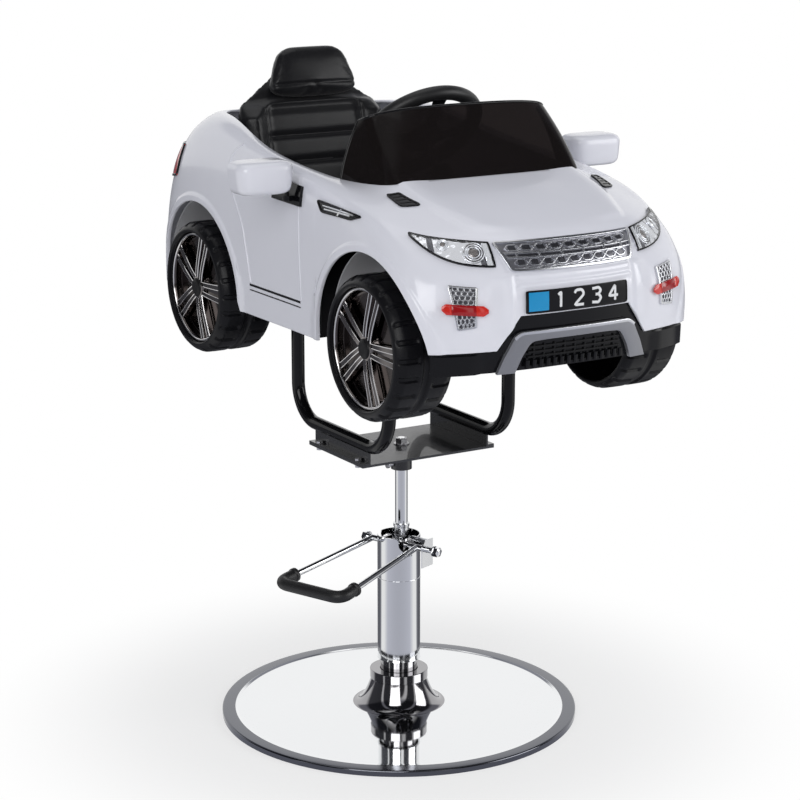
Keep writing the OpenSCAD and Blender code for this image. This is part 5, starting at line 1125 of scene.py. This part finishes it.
    def fog(self) -> None:
        """Builds each fog panel: dark mesh with its hexagons, and a red lens with arrow-shaped ends."""
        corners = lambda s: flipped([[2.28, 1.41], [2.64, 1.36], [2.81, 2.49], [2.23, 2.42]], s)
        panel = lambda s: SKIN.patch(corners(s), self.lift, 1.0, 10, 20)
        self.put("fog panels", both(panel), DARK_TRIM, ["fog_grilles"])
        mesh = both(lambda s: SKIN.ribbon(corners(s), 3.0, 0.4, 2.6, True, 90))
        for s in (1, -1):
            for row in range(9):
                for col in range(4):
                    f, g = (col + 0.5 + 0.5 * (row % 2)) / 4.5, (row + 0.5) / 9
                    a = np.radians(np.arange(6) * 60 + 30)
                    cell = np.stack([0.062 * np.cos(a) * s, 0.068 * np.sin(a)], -1)
                    hexagon = between(corners(s), f, g) + cell
                    mesh.join(SKIN.ribbon(hexagon, 1.3, 0.8, 2.0, True, 6, soft=0.6))
        self.put("fog mesh", mesh, BRIGHT_TRIM)
        side = lambda s: SKIN.ribbon(corners(s)[[0, 3]], 3.4, 0.4, 3.4, count=20)
        self.put("fog edges", both(side), CHROME)
        middle = lambda s: SKIN.plate(self.arrow(s)[10:-9], 2.6, 4.8, 1.0)
        end = lambda q: SKIN.plate(q, 2.6, 4.9, 0.8)
        ends = lambda s: end(self.arrow(s)[:11]).join(end(self.arrow(s)[-10:]))
        self.put("fog lenses", both(middle), DEEP_RED, ["fog_lenses"])
        self.put("fog lens ends", both(ends), RED_LENS)

    def arrow(self, side: int) -> Array:
        """Returns the red lens's grid: a bar of half height h, its ends cut to points over a tenth of it."""
        f = np.linspace(0, 1, 40)
        t = 2.02 + 0.98 * f
        e = np.minimum(f, 1 - f)
        h = 0.13 * (0.35 + 0.65 * np.clip(e / 0.1, 0, 1))
        g = np.linspace(-1, 1, 9)
        v = (1.79 + 0.09 * f)[:, None] + h[:, None] * g[None]
        return np.stack([np.broadcast_to(t[:, None], v.shape) * side, v], -1)

    def vents(self) -> None:
        """Builds the bonnet's slotted vents and the wings' side vents, with bright bars."""
        top = lambda s: flipped([[2.82, 5.93], [3.66, 5.87], [4.28, 6.385], [3.54, 6.52]], s)
        side = lambda s: flipped([[5.59, 3.72], [6.36, 3.52], [6.48, 3.86], [5.3, 4.07]], s)
        form = both(lambda s: SKIN.patch(top(s), self.lift, 1.6, 10, 10)).join(
            both(lambda s: SKIN.patch(side(s), self.lift, 1.6, 16, 8)))
        self.put("vent wells", form, BLACK_GLOSS, ["vents"])
        frames = both(lambda s: SKIN.ribbon(top(s), 3.4, 0.3, 2.8, True, 60, radius=0.08))
        frames.join(both(lambda s: SKIN.ribbon(side(s), 3.0, 0.3, 3.0, True, 70, radius=0.06)))
        bright = Form()
        for s in (1, -1):
            q = top(s)
            for g in (0.25, 0.5, 0.75):
                frames.join(SKIN.ribbon([between(q, 0, g), between(q, 1, g)], 3.0, 0.8, 2.4, count=10))
            q, gap = side(s), np.array([0.12 * s, 0])
            for g in (0.36, 0.68):
                bar = [between(q, 0, g) + gap, between(q, 1, g) - gap]
                bright.join(SKIN.ribbon(bar, 3.0, 1.0, 2.9, count=20))
            bright.join(SKIN.ribbon([between(q, 0.45, 0), between(q, 0.45, 1)], 3.4, 1.0, 3.2, count=8))
        self.put("vent frames", frames, BLACK_GLOSS)
        self.put("vent bars", bright, CHROME)

    def tail_lamps(self) -> None:
        """Builds the tail lamps: red domed lenses in dark frames."""
        corners = lambda s: flipped([[10.5, 3.0], [12.1, 2.9], [12.0, 3.9], [10.6, 3.8]], s)
        lens = lambda s: SKIN.patch(corners(s), self.lift, 2.0, 24, 16, 1.4)
        rim = lambda s: SKIN.ribbon(corners(s), 4.0, 0.3, 3.2, True, 120, radius=0.12)
        self.put("tail lenses", both(lens), RED_LENS, ["tail_lamps"])
        self.put("tail frames", both(rim), BLACK_GLOSS)

    def seams(self) -> None:
        """Builds the moulded door seams, the handle's ridge and the plain stripes along the sills."""
        rear = [[8.33, 4.9], [8.52, 3.86], [8.52, 3.43], [8.35, 2.98], [8.13, 2.44], [8.03, 1.68],
                [7.98, 1.12]]
        front = [[6.98, 4.75], [6.93, 3.5], [6.9, 2.4], [6.88, 1.12]]
        form = Form()
        for line, wide, high, count in ((rear, 5.0, 1.5, 90), (front, 4.0, 1.0, 70)):
            form.join(both(lambda s: SKIN.ribbon(
                flipped(line, s), wide, -1.0, high, count=count, soft=0.9, radius=0.2)))
        self.put("door seams", form, WHITE_SHELL)
        stripes = Form()
        for s in (1, -1):
            for v, w in ((1.05, 4.0), (0.9, 2.0)):
                stripes.join(SKIN.ribbon(flipped([[6.9, v], [8.0, v]], s), w, -0.2, 0.5, count=50, soft=0.3))
        self.put("sill stripes", stripes, BLACK_GLOSS)

    def windscreen(self) -> None:
        """Builds the smoked screen: foot on the cockpit's rim, spline top, bowed by 16 g (1 - g)."""
        share = np.array([[0, -.36, 1.384], [.2, -.36, 1.383], [.4, -.358, 1.378], [.58, -.352, 1.362],
                          [.64, -.334, 1.336], [.65, -.312, 1.322], [.655, -.295, 1.31], [.66, -.28, 1.3]])
        top = share * [SKIN.half_w, SKIN.nose, SKIN.waist] + [0, 0, SKIN.sill_z]
        net = np.vstack([top[1] * [-1, 1, 1], top, top[-1:], top[-1:]])
        t = np.linspace(-6.2, 6.2, 161)
        s = np.abs(t)
        k = np.clip(np.floor(s), 0, 6).astype(int)
        w = Skin.weights(s - k)
        crown = sum(w[m][:, None] * net[k + m] for m in range(4)) * SKIN.mirror(t)
        foot = SKIN.off(t, np.full(t.shape, 7.0), -self.wall / 2) + [0, 0, 0.8]
        bow = unit(np.stack([foot[:, 0] / 2, foot[:, 1] - crown[:, 1] - 4, 0 * t], -1))
        g = np.linspace(0, 1, 36)[None, :, None]
        mid = (1 - g) * foot[:, None] + g * crown[:, None] + 16 * g * (1 - g) * bow[:, None]
        across, up = np.gradient(mid, axis=0), np.gradient(mid, axis=1)
        n = unit(np.cross(across, up))
        n[:, 0, 2] = 0
        half = 1.5
        front, back = mid + half * n, mid - half * n
        a = np.linspace(0, math.pi, 6)[None, 1:-1, None]
        rim = mid[:, -1:] + half * np.cos(a) * n[:, -1:] + half * np.sin(a) * unit(up[:, -1:])
        ring = np.concatenate([front, rim, back[:, ::-1]], 1)
        form = Form().grid(ring, round_v=True, caps=True)
        self.put("smoked screen", form, SMOKED, ["windscreen"], 50)
        edge = np.concatenate([mid[0], mid[1:-1, -1], mid[-1, ::-1]])
        self.put("screen rim", Form().tube(spread(edge, 260), 2.6, 12), BLACK_GLOSS)


@dataclass
class Seat:
    """Leather cushion, backrest and headrest, blown up by cloth and drawn in along their channels."""

    voxel: float = 0.0045
    width: float = 262.0
    length: float = 214.0
    thick: float = 38.0
    mid_y: float = 148.0
    low_z: float = 800.3
    back_y: float = 272.0
    back_z: float = 801.2
    lean: float = 12.0
    height: float = 258.0

    def build(self) -> None:
        """Builds the three pads."""
        self.body = frame["nodes"]["seat_cushion"]["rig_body"]
        self.pad("seat_cushion", "cushion leather", 0.006)
        self.pad("seat_back", "backrest leather", 0.005)
        self.pad("headrest", "headrest pillow", 0.005)

    def pad(self, node: str, name: str, cap: float) -> None:
        """Makes one pad from its CAD solid: shrunk, remeshed, inflated up to the cap, and channelled.

        Args:
            node: the CAD solid that it stands for.
            name: the piece's name.
            cap: the furthest that a point may move, in metres.
        """
        source = frame["nodes"][node]
        mesh = source.data.copy()
        if mesh.has_custom_normals:
            mesh.attributes.remove(mesh.attributes["custom_normal"])
        o = bpy.data.objects.new(name.replace(" ", "_"), mesh)
        bpy.context.scene.collection.objects.link(o)
        bm = bmesh.new()
        bm.from_mesh(mesh)
        bmesh.ops.remove_doubles(bm, verts=bm.verts, dist=1e-6)
        bm.normal_update()
        for v in bm.verts:
            v.co -= v.normal * cap * 0.6
        bm.to_mesh(mesh)
        bm.free()
        self.bake(o, "REMESH", mode="VOXEL", voxel_size=self.voxel, use_smooth_shade=True)
        rest = np.empty(len(o.data.vertices) * 3)
        o.data.vertices.foreach_get("co", rest)
        rest = rest.reshape(-1, 3)
        moved = self.inflate(o, rest, cap)
        o.data.vertices.foreach_set("co", moved.ravel())
        self.bake(o, "SUBSURF", levels=1, render_levels=1)
        co = np.empty(len(o.data.vertices) * 3)
        o.data.vertices.foreach_get("co", co)
        co = self.channels(node, co.reshape(-1, 3) / MM - RAM)
        co[:, 2] = np.maximum(co[:, 2], self.low_z) if node == "seat_cushion" else co[:, 2]
        o.data.vertices.foreach_set("co", metres(co).ravel())
        o.data.update()
        dress(o, LEATHER, self.body, [node], 60)

    @staticmethod
    def bake(o: bpy.types.Object, kind: str, **settings: object) -> None:
        """Adds a modifier with its settings and applies it at once."""
        mod = o.modifiers.new(kind.lower(), kind)
        for key, value in settings.items():
            setattr(mod, key, value)
        graph = bpy.context.evaluated_depsgraph_get()
        mesh = bpy.data.meshes.new_from_object(o.evaluated_get(graph))
        o.modifiers.clear()
        o.data = mesh

    def inflate(self, o: bpy.types.Object, rest: Array, cap: float) -> Array:
        """Blows the pad up with Blender's cloth.

        Args:
            o: the remeshed pad.
            rest: its points.
            cap: the furthest that a point may move.

        Returns:
            The new points.
        """
        mod = o.modifiers.new("cloth", "CLOTH")
        mod.settings.use_pressure = True
        mod.settings.uniform_pressure_force = 4
        mod.settings.effector_weights.gravity = 0
        mod.settings.quality = 6
        scene = bpy.context.scene
        for k in range(1, 21):
            scene.frame_set(k)
        graph = bpy.context.evaluated_depsgraph_get()
        out = o.evaluated_get(graph).to_mesh()
        now = np.empty(len(rest) * 3)
        out.vertices.foreach_get("co", now)
        o.evaluated_get(graph).to_mesh_clear()
        o.modifiers.clear()
        scene.frame_set(1)
        step = now.reshape(-1, 3) - rest
        far = np.linalg.norm(step, axis=1, keepdims=True)
        return rest + step * np.minimum(1, cap / np.maximum(far, 1e-9))

    def channels(self, node: str, p: Array) -> Array:
        """Presses the sewn channels in: depth * exp(-(distance / width)^2) on the faces that show.

        Args:
            node: the pad's CAD solid.
            p: its points in millimetres from the ram's axis.

        Returns:
            The points with their channels.
        """
        if node == "seat_cushion":
            y = p[:, 1] - self.mid_y
            up = ramp(p[:, 2], self.low_z + self.thick * 0.55, self.low_z + self.thick * 0.8)
            inside = ramp(self.width / 2 - np.abs(p[:, 0]), 4, 26)
            dip = 0 * y
            for k in (-1, 0, 1):
                dip += 3.2 * bump(y - k * self.length / 3.6, 2.6) * inside
            p[:, 2] -= dip * up
            return p
        a = math.radians(self.lean)
        h = (p[:, 2] - self.back_z) * math.cos(a) + (p[:, 1] - self.back_y) * math.sin(a)
        d = (p[:, 1] - self.back_y) * math.cos(a) - (p[:, 2] - self.back_z) * math.sin(a)
        front = ramp(-d, 2, 9)
        if node == "seat_back":
            across = np.abs(p[:, 0])
            inside = ramp(self.width * 0.36 - across, 0, 16)
            dip = 0 * h
            for share in (0.4, 0.57):
                dip += 3.0 * bump(h - share * self.height, 2.8) * inside
            side = 2.5 * bump(across - self.width * 0.355, 3.0)
            dip += side * ramp(h, 20, 50) * ramp(0.8 * self.height - h, 0, 20)
        else:
            dip = 2.2 * bump(h - 0.81 * self.height - 22, 2.6) * ramp(-d, 10, 20)
        shift = dip * front
        p[:, 1] += shift * math.cos(a)
        p[:, 2] -= shift * math.sin(a)
        return p


@dataclass
class Steering:
    """Steering wheel, column, tie rod, axles and knuckles."""

    middle: tuple[float, float, float] = (0.0, -57.0, 990.0)
    tilt: float = 45.5
    ring_r: float = 93.0
    tube_r: float = 12.5
    drop: float = 14.0

    def build(self) -> None:
        """Builds the wheel and dresses the rest."""
        body = frame["nodes"]["steering_wheel"]["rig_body"]
        a = math.radians(-self.tilt)
        turn = np.array([[1, 0, 0], [0, math.cos(a), -math.sin(a)], [0, math.sin(a), math.cos(a)]])
        place = np.array(self.middle)
        b = turns(160)
        ring = np.stack([self.ring_r * np.cos(b), self.ring_r * np.sin(b), 0 * b], -1)
        grip = self.tube_r - 0.5 + 0.5 * np.cos(2 * b) + 0.35 * bump(np.abs(np.abs(np.sin(b)) - 0.4), 0.03)
        form = Form().tube(ring, grip, 28, closed=True).moved(turn, place)
        put("wheel rim grip", form, RUBBER, body, ["steering_wheel"], 50)
        hub = np.array([[0.01, 7], [12, 6.4], [20, 5], [25, 2.5], [27.5, -1], [30, -3], [30, -9], [26, -15.5],
                        [0.01, -15.5]])
        hub[:, 1] -= self.drop - 8
        arms = Form()
        for angle in (0, 180, 270):
            c, s = math.cos(math.radians(angle)), math.sin(math.radians(angle))
            f = np.linspace(0, 1, 24)
            r = 16 + (self.ring_r - 22) * f
            z = -self.drop + 1 + (self.drop - 4) * ramp(f, 0.15, 1)
            path = np.stack([r * c, r * s, z], -1)
            w = 13 - 3.2 * np.sin(math.pi * f)
            k = turns(20)
            wide = w[:, None, None] * signed(np.cos(k), 0.7)[None, :, None] * np.array([-s, c, 0])
            deep = 3.6 * signed(np.sin(k), 0.7)[None, :, None] * np.array([0, 0, 1.0])
            arms.grid(path[:, None] + wide + deep, round_v=True, caps=True)
        put("wheel spokes", arms.moved(turn, place), BLACK_PLASTIC, body, (), 50)
        boss = Form().lathe(fillet(hub, 2, 4), 64, closed=False)
        put("wheel hub", boss.moved(turn, place), BLACK_GLOSS, body, (), 50)
        for node in "front_axle rear_axle steering_column tie_rod knuckle_left knuckle_right".split():
            finish_node(node, STEEL, 0.0004)


@dataclass
class Mirrors:
    """White door mirrors with bright faces on black brackets."""

    middle: tuple[float, float, float] = (306.0, -100.0, 944.0)
    half: tuple[float, float, float] = (46.0, 24.0, 26.0)

    def place(self, side: int) -> Array:
        """Returns the middle of the mirror on the wanted side."""
        return np.array(self.middle) * [side, 1, 1]

    def housing(self, side: int) -> Form:
        """Builds the housing: a rounded box whose rear half is cut off square round the glass."""
        a = turns(72)[None]
        lat = np.radians(np.concatenate([np.linspace(-89, 0, 26), np.zeros(2)]))[:, None]
        x = self.half[0] * signed(np.cos(a), 0.36) * np.cos(lat) ** 0.3
        z = self.half[2] * signed(np.sin(a), 0.4) * np.cos(lat) ** 0.3
        y = self.half[1] * np.sin(lat) + 0 * a
        y[-2:] = [[self.half[1] * 0.55], [self.half[1]]]
        p = np.stack([x * (1 + 0.06 * z / self.half[2]), y, z], -1)
        inner = p[-1:] * [0.9, 1, 0.88]
        deep = inner - [0, 5, 0]
        p = np.concatenate([p, inner, deep])
        return Form().grid(p * [side, 1, 1] + self.place(side), round_v=True, caps=True)

    def glass(self, side: int) -> Form:
        """Builds the mirror face, slightly domed."""
        a = turns(72)[None]
        f = np.array([0.02, 0.4, 0.8, 0.96, 1.0, 1.0])[:, None]
        y = np.array([1.0, 0.8, 0.3, 0, -0.6, -3])[:, None] + 0 * a + self.half[1] - 1.6
        x = self.half[0] * 0.86 * signed(np.cos(a), 0.4) * f
        z = self.half[2] * 0.84 * signed(np.sin(a), 0.44) * f
        p = np.stack([x * (1 + 0.06 * z / self.half[2]), y, z], -1) * [side, 1, 1]
        return Form().grid(p + self.place(side), round_v=True, caps=True)

    def build(self) -> None:
        """Builds both mirrors and dresses their brackets."""
        for side, word in ((1, "left"), (-1, "right")):
            node = f"mirror_{word}"
            body = frame["nodes"][node]["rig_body"]
            put(f"{word} mirror housing", self.housing(side), WHITE_SHELL, body, [node], 45)
            put(f"{word} mirror face", self.glass(side), MIRROR_GLASS, body, (), 40)
        finish_node("mirror_brackets", BLACK_GLOSS, 0.0015)


@dataclass
class Wheels:
    """Four wheels: treaded tyres and bright five-spoke rims with twin bars."""

    width: float = 100.0
    inner_x: float = 157.0
    rim_x: float = 75.1
    axle_z: float = 712.0
    blocks: int = 24
    spokes: int = 5
    bar_near: float = 7.0
    bar_far: float = 11.0
    shoulder_h: float = 3.2

    def tyre(self) -> Form:
        """Turns the tyre, with its middle groove, and cuts slots shoulder_h deep across each shoulder."""
        w = self.width
        inside = [[14, 11], [14, 71], [93, 71], [95, 40], [96, 0]]
        tread = [[100, 0], [106, 5], [109.6, 13], [110, 30], [110, 44], [106, 45.5],
                 [106, 54.5], [110, 56], [110, 72], [109.6, 86], [106, 93], [101, 98]]
        outside = [[97, 100], [93.2, 99.5], [92.3, 97], [92.3, 75], [14, 75], [14, 86], [6.1, 86], [6.1, 11]]
        fine = spread(fillet(inside + tread + outside, 2.0, 4, True), 280, True)
        side_count = self.blocks * 12
        a = turns(side_count)[None]
        x, r = fine[:, 1:2], fine[:, :1]
        crown = ramp(r, 101, 107)
        outer = ramp(x, w * 0.56, w * 0.6)
        inner = ramp(w - x, w * 0.56, w * 0.6)
        phase = a * self.blocks / (2 * math.pi)
        saw = lambda s: ramp(0.15 - np.abs((phase + s + 0.5) % 1 - 0.5), 0, 0.06)
        slot = saw(0.0) * outer * ramp(x, 60, 66) + saw(0.5) * inner * ramp(w - x, 60, 66)
        ripple = -self.shoulder_h * crown * np.clip(slot, 0, 1)
        return Form().lathe(fine, side_count, True, ripple)

    def rim(self) -> dict[str, tuple[Form, Finish]]:
        """Turns the dish, the lip and the cap, and lays five twin spokes out from the hub.

        A bar's middle stands off its spoke's axis by near + (far - near) * f; bright tubes on both its upper
        edges, like bevels, and the bright lip ring are painted highlights, and a sunk web joins the two bars.

        Returns:
            Each piece's form and finish, under its name.
        """
        dish = fillet([[0.01, 12], [20, 12], [26, 4], [84, 3], [85, 14], [86.5, 17], [90, 17.5], [91.6, 16.5],
                       [91.9, 2], [90, 0.4], [14.4, 0.4], [14.4, 11], [0.01, 11]], 1.6, 4)
        lip = fillet([[86.6, 16.4], [87.6, 18], [90.2, 18], [91.4, 16.8], [90, 15], [87.4, 15]], 0.5, 3, True)
        # the lip ring and, below, the tubes along each bar's upper edges are painted highlights
        bars, edges = Form(), Form().lathe(spread(lip, 24, True), 140, True)
        f = np.linspace(0, 1, 20)
        r = 13 + 73.6 * f
        top = 15.5 + 2.6 * np.sin(math.pi * f) * (1 - f) + 0.6 * f
        off = self.bar_near + (self.bar_far - self.bar_near) * f
        half = 3.7 + 1.2 * f
        bar = [[-1, -9], [-1, -1.6], [-0.72, 0], [0.72, 0], [1, -1.6], [1, -9]]
        web = [[-1, -12], [-1, -6], [0, -5], [1, -6], [1, -12]]
        for k in range(self.spokes):
            c, s = math.cos(2 * math.pi * k / self.spokes), math.sin(2 * math.pi * k / self.spokes)
            spot = lambda shift, h: np.stack([r * c - shift * s, r * s + shift * c, top + h], -1)
            for hand in (-1, 1):
                sides = [spot(hand * off + g * half, h) for g, h in bar]
                bars.grid(np.stack(sides, 1), round_v=True, caps=True)
                # a painted highlight tube along each upper edge
                for g in (-0.86, 0.86):
                    edges.join(Form().tube(spot(hand * off + g * half, -0.6), 0.95, 8))
            bars.grid(np.stack([spot(g * off, h) for g, h in web], 1), round_v=True, caps=True)
        hub = fillet([[0.01, 17], [15, 17], [19, 15], [21, 9], [21, 4], [0.01, 4]], 1.5, 4)
        cap = fillet([[0.01, 20.5], [9, 20.5], [13.5, 19.5], [15.5, 17], [16, 12], [0.01, 12]], 1.2, 4)
        return {
            # the dish takes painted shade: its chrome is painted near black in the pockets
            "rim": (Form().lathe(spread(dish, 120), 120, closed=False), RIM_POCKET_SHADE),
            "spokes": (bars.join(Form().lathe(spread(hub, 40), 80, closed=False)), DARK_CHROME),
            "rim edge highlights": (edges, RIM_EDGE_HIGHLIGHT),
            "cap": (Form().lathe(spread(cap, 40), 56, closed=False), BLACK_PLASTIC),
        }

    def build(self) -> None:
        """Places a tyre and its rim's pieces at each corner; one spoke points to the front."""
        tyre = self.tyre()
        pieces = self.rim()
        for word, y in (("front", SKIN.axles[0]), ("rear", SKIN.axles[1])):
            for side, hand in ((1, "left"), (-1, "right")):
                turn = np.array([[0, 0, side], [side, 0, 0], [0, 1, 0]], float)
                name = f"{word}_{hand}"
                body = frame["nodes"][f"tyre_{name}"]["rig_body"]
                place = lambda x: np.array([side * x, y, self.axle_z])
                form = tyre.moved(turn, place(self.inner_x))
                put(f"{word} {hand} tyre", form, TYRE, body, [f"tyre_{name}"], 32)
                at = place(self.inner_x + self.rim_x)
                lay = np.array([[0, 0, side], [-1, 0, 0], [0, -side, 0]], float)
                for piece, (form, finish) in pieces.items():
                    node = [f"rim_{name}"] if piece == "rim" else ()
                    put(f"{word} {hand} {piece}", form.moved(lay, at), finish, body, node, 30)


@dataclass
class Studio:
    """Pale floor, soft lamps and the camera at the photograph's angle."""

    camera_place: tuple[float, float, float] = (-1.9219, -3.1688, 1.4571)
    azimuth: float = -31.237
    pitch: float = 13.921
    yaw: float = -0.03
    focal_px: float = 2313.46
    frame_px: float = 800.0
    sensor: float = 36.0
    rise_px: float = 0.7
    sky: float = 0.42
    floor_half: float = 30.0
    fade_from: float = 0.32
    fade_to: float = 0.75
    fade_least: float = 0.62
    around: tuple[tuple[float, float], ...] = (
        (-1.0, 0.04), (-0.9, 0.05), (-0.87, 0.9), (-0.82, 0.9), (-0.79, 0.05), (-0.52, 0.06), (-0.48, 0.9),
        (-0.42, 0.9), (-0.38, 0.06), (0.3, 0.08), (0.5, 0.92), (1.0, 1.0)
    )
    upward: tuple[tuple[float, float], ...] = (
        (-1.0, 0.9), (-0.1, 0.8), (0.0, 0.0), (0.86, 0.0), (0.93, 0.6), (1.0, 0.6)
    )
    middle: tuple[tuple[float, float], ...] = ((-1.0, 1.0), (0.44, 1.0), (0.52, 0.26), (1.0, 0.26))
    # What glossy rays see on the floor, by the cosine to the camera's look: a painted reflection shade, grey
    # towards the camera, white to the sides, dark beyond.
    ground: tuple[tuple[float, float], ...] = (
        (-1.0, 0.42), (-0.5, 0.5), (-0.12, 0.85), (0.22, 0.85), (0.36, 0.2), (0.62, 0.1), (1.0, 0.16)
    )

    def lamp(
        self, name: str, place: Sequence[float], size: tuple[float, float], watts: float, aim: Sequence[float]
    ) -> bpy.types.Object:
        """Adds one soft rectangular lamp.

        Args:
            name: the lamp's name.
            place: where it stands, in metres.
            size: its width and height.
            watts: its strength.
            aim: the point that it faces.

        Returns:
            The lamp.
        """
        data = bpy.data.lights.new(name, "AREA")
        data.shape, data.size, data.size_y, data.energy = "RECTANGLE", *size, watts
        o = bpy.data.objects.new(name, data)
        o.location = place
        o.rotation_euler = (Vector(aim) - Vector(place)).to_track_quat("-Z", "Y").to_euler()
        bpy.context.scene.collection.objects.link(o)
        return o

    def world(self) -> None:
        """Lights the scene with a plain sky, but reflections see a white back, a dark front and two strips.

        The reflected shade follows the cosine between the ray and the way the camera looks, and the ray's
        height: it is the lighter of upward(height) and around(cosine) * middle(height).
        """
        world = bpy.data.worlds.new("studio")
        bpy.context.scene.world = world
        world.use_nodes = True
        world.node_tree.nodes.clear()
        graph = Graph(world.node_tree)
        rays, ray = graph.add("LightPath").outputs, graph.add("TexCoord").outputs["Generated"]
        height = graph.add("SeparateXYZ", {"Vector": ray}).outputs["Z"]
        shade = graph.add("Mix", {
            0: 1, 6: self.shade(graph, self.around, self.facing(graph, ray)),
            7: self.shade(graph, self.middle, height),
        }, data_type="RGBA", blend_type="MULTIPLY")
        shade = graph.add("Mix", {
            0: 1, 6: shade.outputs[2], 7: self.shade(graph, self.upward, height),
        }, data_type="RGBA", blend_type="LIGHTEN")
        glow = graph.add("Background", {"Color": shade.outputs[2]})
        soft = graph.add("Background", {"Color": (0.95, 0.965, 1, 1), "Strength": self.sky})
        white = graph.add("Background", {"Strength": 1})
        lit = graph.add("MixShader", {"Fac": rays["Is Glossy Ray"], 1: soft.outputs[0], 2: glow.outputs[0]})
        feeds = {"Fac": self.direct(graph, rays), 1: lit.outputs[0], 2: white.outputs[0]}
        seen = graph.add("MixShader", feeds)
        graph.add("OutputWorld", {"Surface": seen.outputs[0]})

    def facing(self, graph: Graph, vector: bpy.types.NodeSocket) -> bpy.types.NodeSocket:
        """Adds nodes for the cosine between a vector and the camera's look, and returns their socket."""
        a = math.radians(self.azimuth)
        even = graph.add("VectorMath", {0: vector}, operation="NORMALIZE")
        feeds = {0: even.outputs["Vector"], 1: (-math.sin(a), math.cos(a), 0)}
        return graph.add("VectorMath", feeds, operation="DOT_PRODUCT").outputs["Value"]

    @staticmethod
    def direct(graph: Graph, rays: bpy.types.NodeOutputs) -> bpy.types.NodeSocket:
        """Adds the test for rays straight from the camera or through glass, and returns its socket."""
        feeds = {0: rays["Is Camera Ray"], 1: rays["Is Transmission Ray"]}
        return graph.add("Math", feeds, operation="MAXIMUM").outputs[0]

    @staticmethod
    def shade(
        graph: Graph, stops: Sequence[tuple[float, float]], value: bpy.types.NodeSocket
    ) -> bpy.types.NodeSocket:
        """Adds a ramp of greys, cooler where dark, through (value from -1 to 1, shade) stops.

        Args:
            graph: the tree.
            stops: the values and their shades.
            value: the socket that drives the ramp.

        Returns:
            The ramp's colour.
        """
        half = graph.add("MapRange", {"Value": value, "From Min": -1})
        node = graph.add("ValToRGB", {"Fac": half.outputs["Result"]})
        elements = node.color_ramp.elements
        while len(elements) < len(stops):
            elements.new(0.5)
        for e, (at, tone) in zip(elements, stops):
            e.position = (at + 1) / 2
            e.color = (tone, tone * 1.02, tone * 1.15, 1) if tone < 0.6 else (tone, tone, tone, 1)
        return node.outputs["Color"]

    def floor(self) -> bpy.types.Object:
        """Lays a wide pale floor: it takes the object's shadow near it, turns white further out and shows
        reflections a painted shade.
        """
        mesh = bpy.data.meshes.new("floor")
        s = self.floor_half
        mesh.from_pydata([(-s, -s, 0), (s, -s, 0), (s, s, 0), (-s, s, 0)], [], [(0, 1, 2, 3)])
        o = bpy.data.objects.new("floor", mesh)
        bpy.context.scene.collection.objects.link(o)
        m = Finish("floor paint", "", (0.9, 0.9, 0.9), 0, 0.9, scale=2, variation=0.003).build()
        graph = Graph(m.node_tree)
        paint, out = m.node_tree.nodes["Principled BSDF"].outputs[0], m.node_tree.nodes["Material Output"]
        rays, place = graph.add("LightPath").outputs, graph.add("TexCoord").outputs["Object"]
        far = graph.add("VectorMath", {0: place}, operation="LENGTH")
        fade = graph.add("MapRange", {
            "Value": far.outputs["Value"], "From Min": self.fade_from, "From Max": self.fade_to,
            "To Min": self.fade_least,
        }, interpolation_type="SMOOTHSTEP")
        plain = graph.add("Emission")
        near = graph.add("MixShader", {"Fac": fade.outputs["Result"], 1: paint, 2: plain.outputs[0]})
        # glossy rays see the floor as this painted shade, not as its paint
        ground = graph.add("Emission", {"Color": self.shade(graph, self.ground, self.facing(graph, place))})
        mirrored = graph.add("MixShader", {"Fac": rays["Is Glossy Ray"], 1: paint, 2: ground.outputs[0]})
        pick = graph.add("MixShader", {
            "Fac": self.direct(graph, rays), 1: mirrored.outputs[0], 2: near.outputs[0],
        })
        graph.feed(out, {"Surface": pick.outputs[0]})
        mesh.materials.append(m)
        return o

    def build(self) -> None:
        """Adds the floor, the lamps, the world and the camera."""
        lamps = [
            self.lamp("key", (-2.8, -2.8, 2.3), (2.6, 2.2), 62, (0, 0, 0.7)),
            self.lamp("fill", (3.0, -2.6, 1.8), (2.4, 2.2), 54, (0, 0, 0.7)),
            self.lamp("top", (0.2, 0.8, 4.2), (3.2, 3.2), 17, (0, 0, 0.6)),
        ]
        self.world()
        self.floor()
        data = bpy.data.cameras.new("camera")
        data.sensor_width, data.sensor_fit = self.sensor, "HORIZONTAL"
        data.lens = self.focal_px / self.frame_px * self.sensor
        data.shift_y = self.rise_px / self.frame_px
        camera = bpy.data.objects.new("camera", data)
        bpy.context.scene.collection.objects.link(camera)
        camera.location = self.camera_place
        camera.rotation_mode = "XYZ"
        camera.rotation_euler = (math.radians(90 - self.pitch), 0, math.radians(self.azimuth + self.yaw))
        bpy.context.scene.camera = camera
        bpy.context.scene.view_settings.view_transform = "Standard"


def main() -> None:
    """Builds the chair piece by piece and sets up its picture."""
    logging.basicConfig(level=logging.INFO, format="%(name)s: %(message)s")
    for part in (Base(), Pedal(), Carrier(), Body(), Seat(), Steering(), Mirrors(), Wheels(), Studio()):
        log.info("building %s", type(part).__name__)
        part.build()


if __name__ == "__main__":
    main()
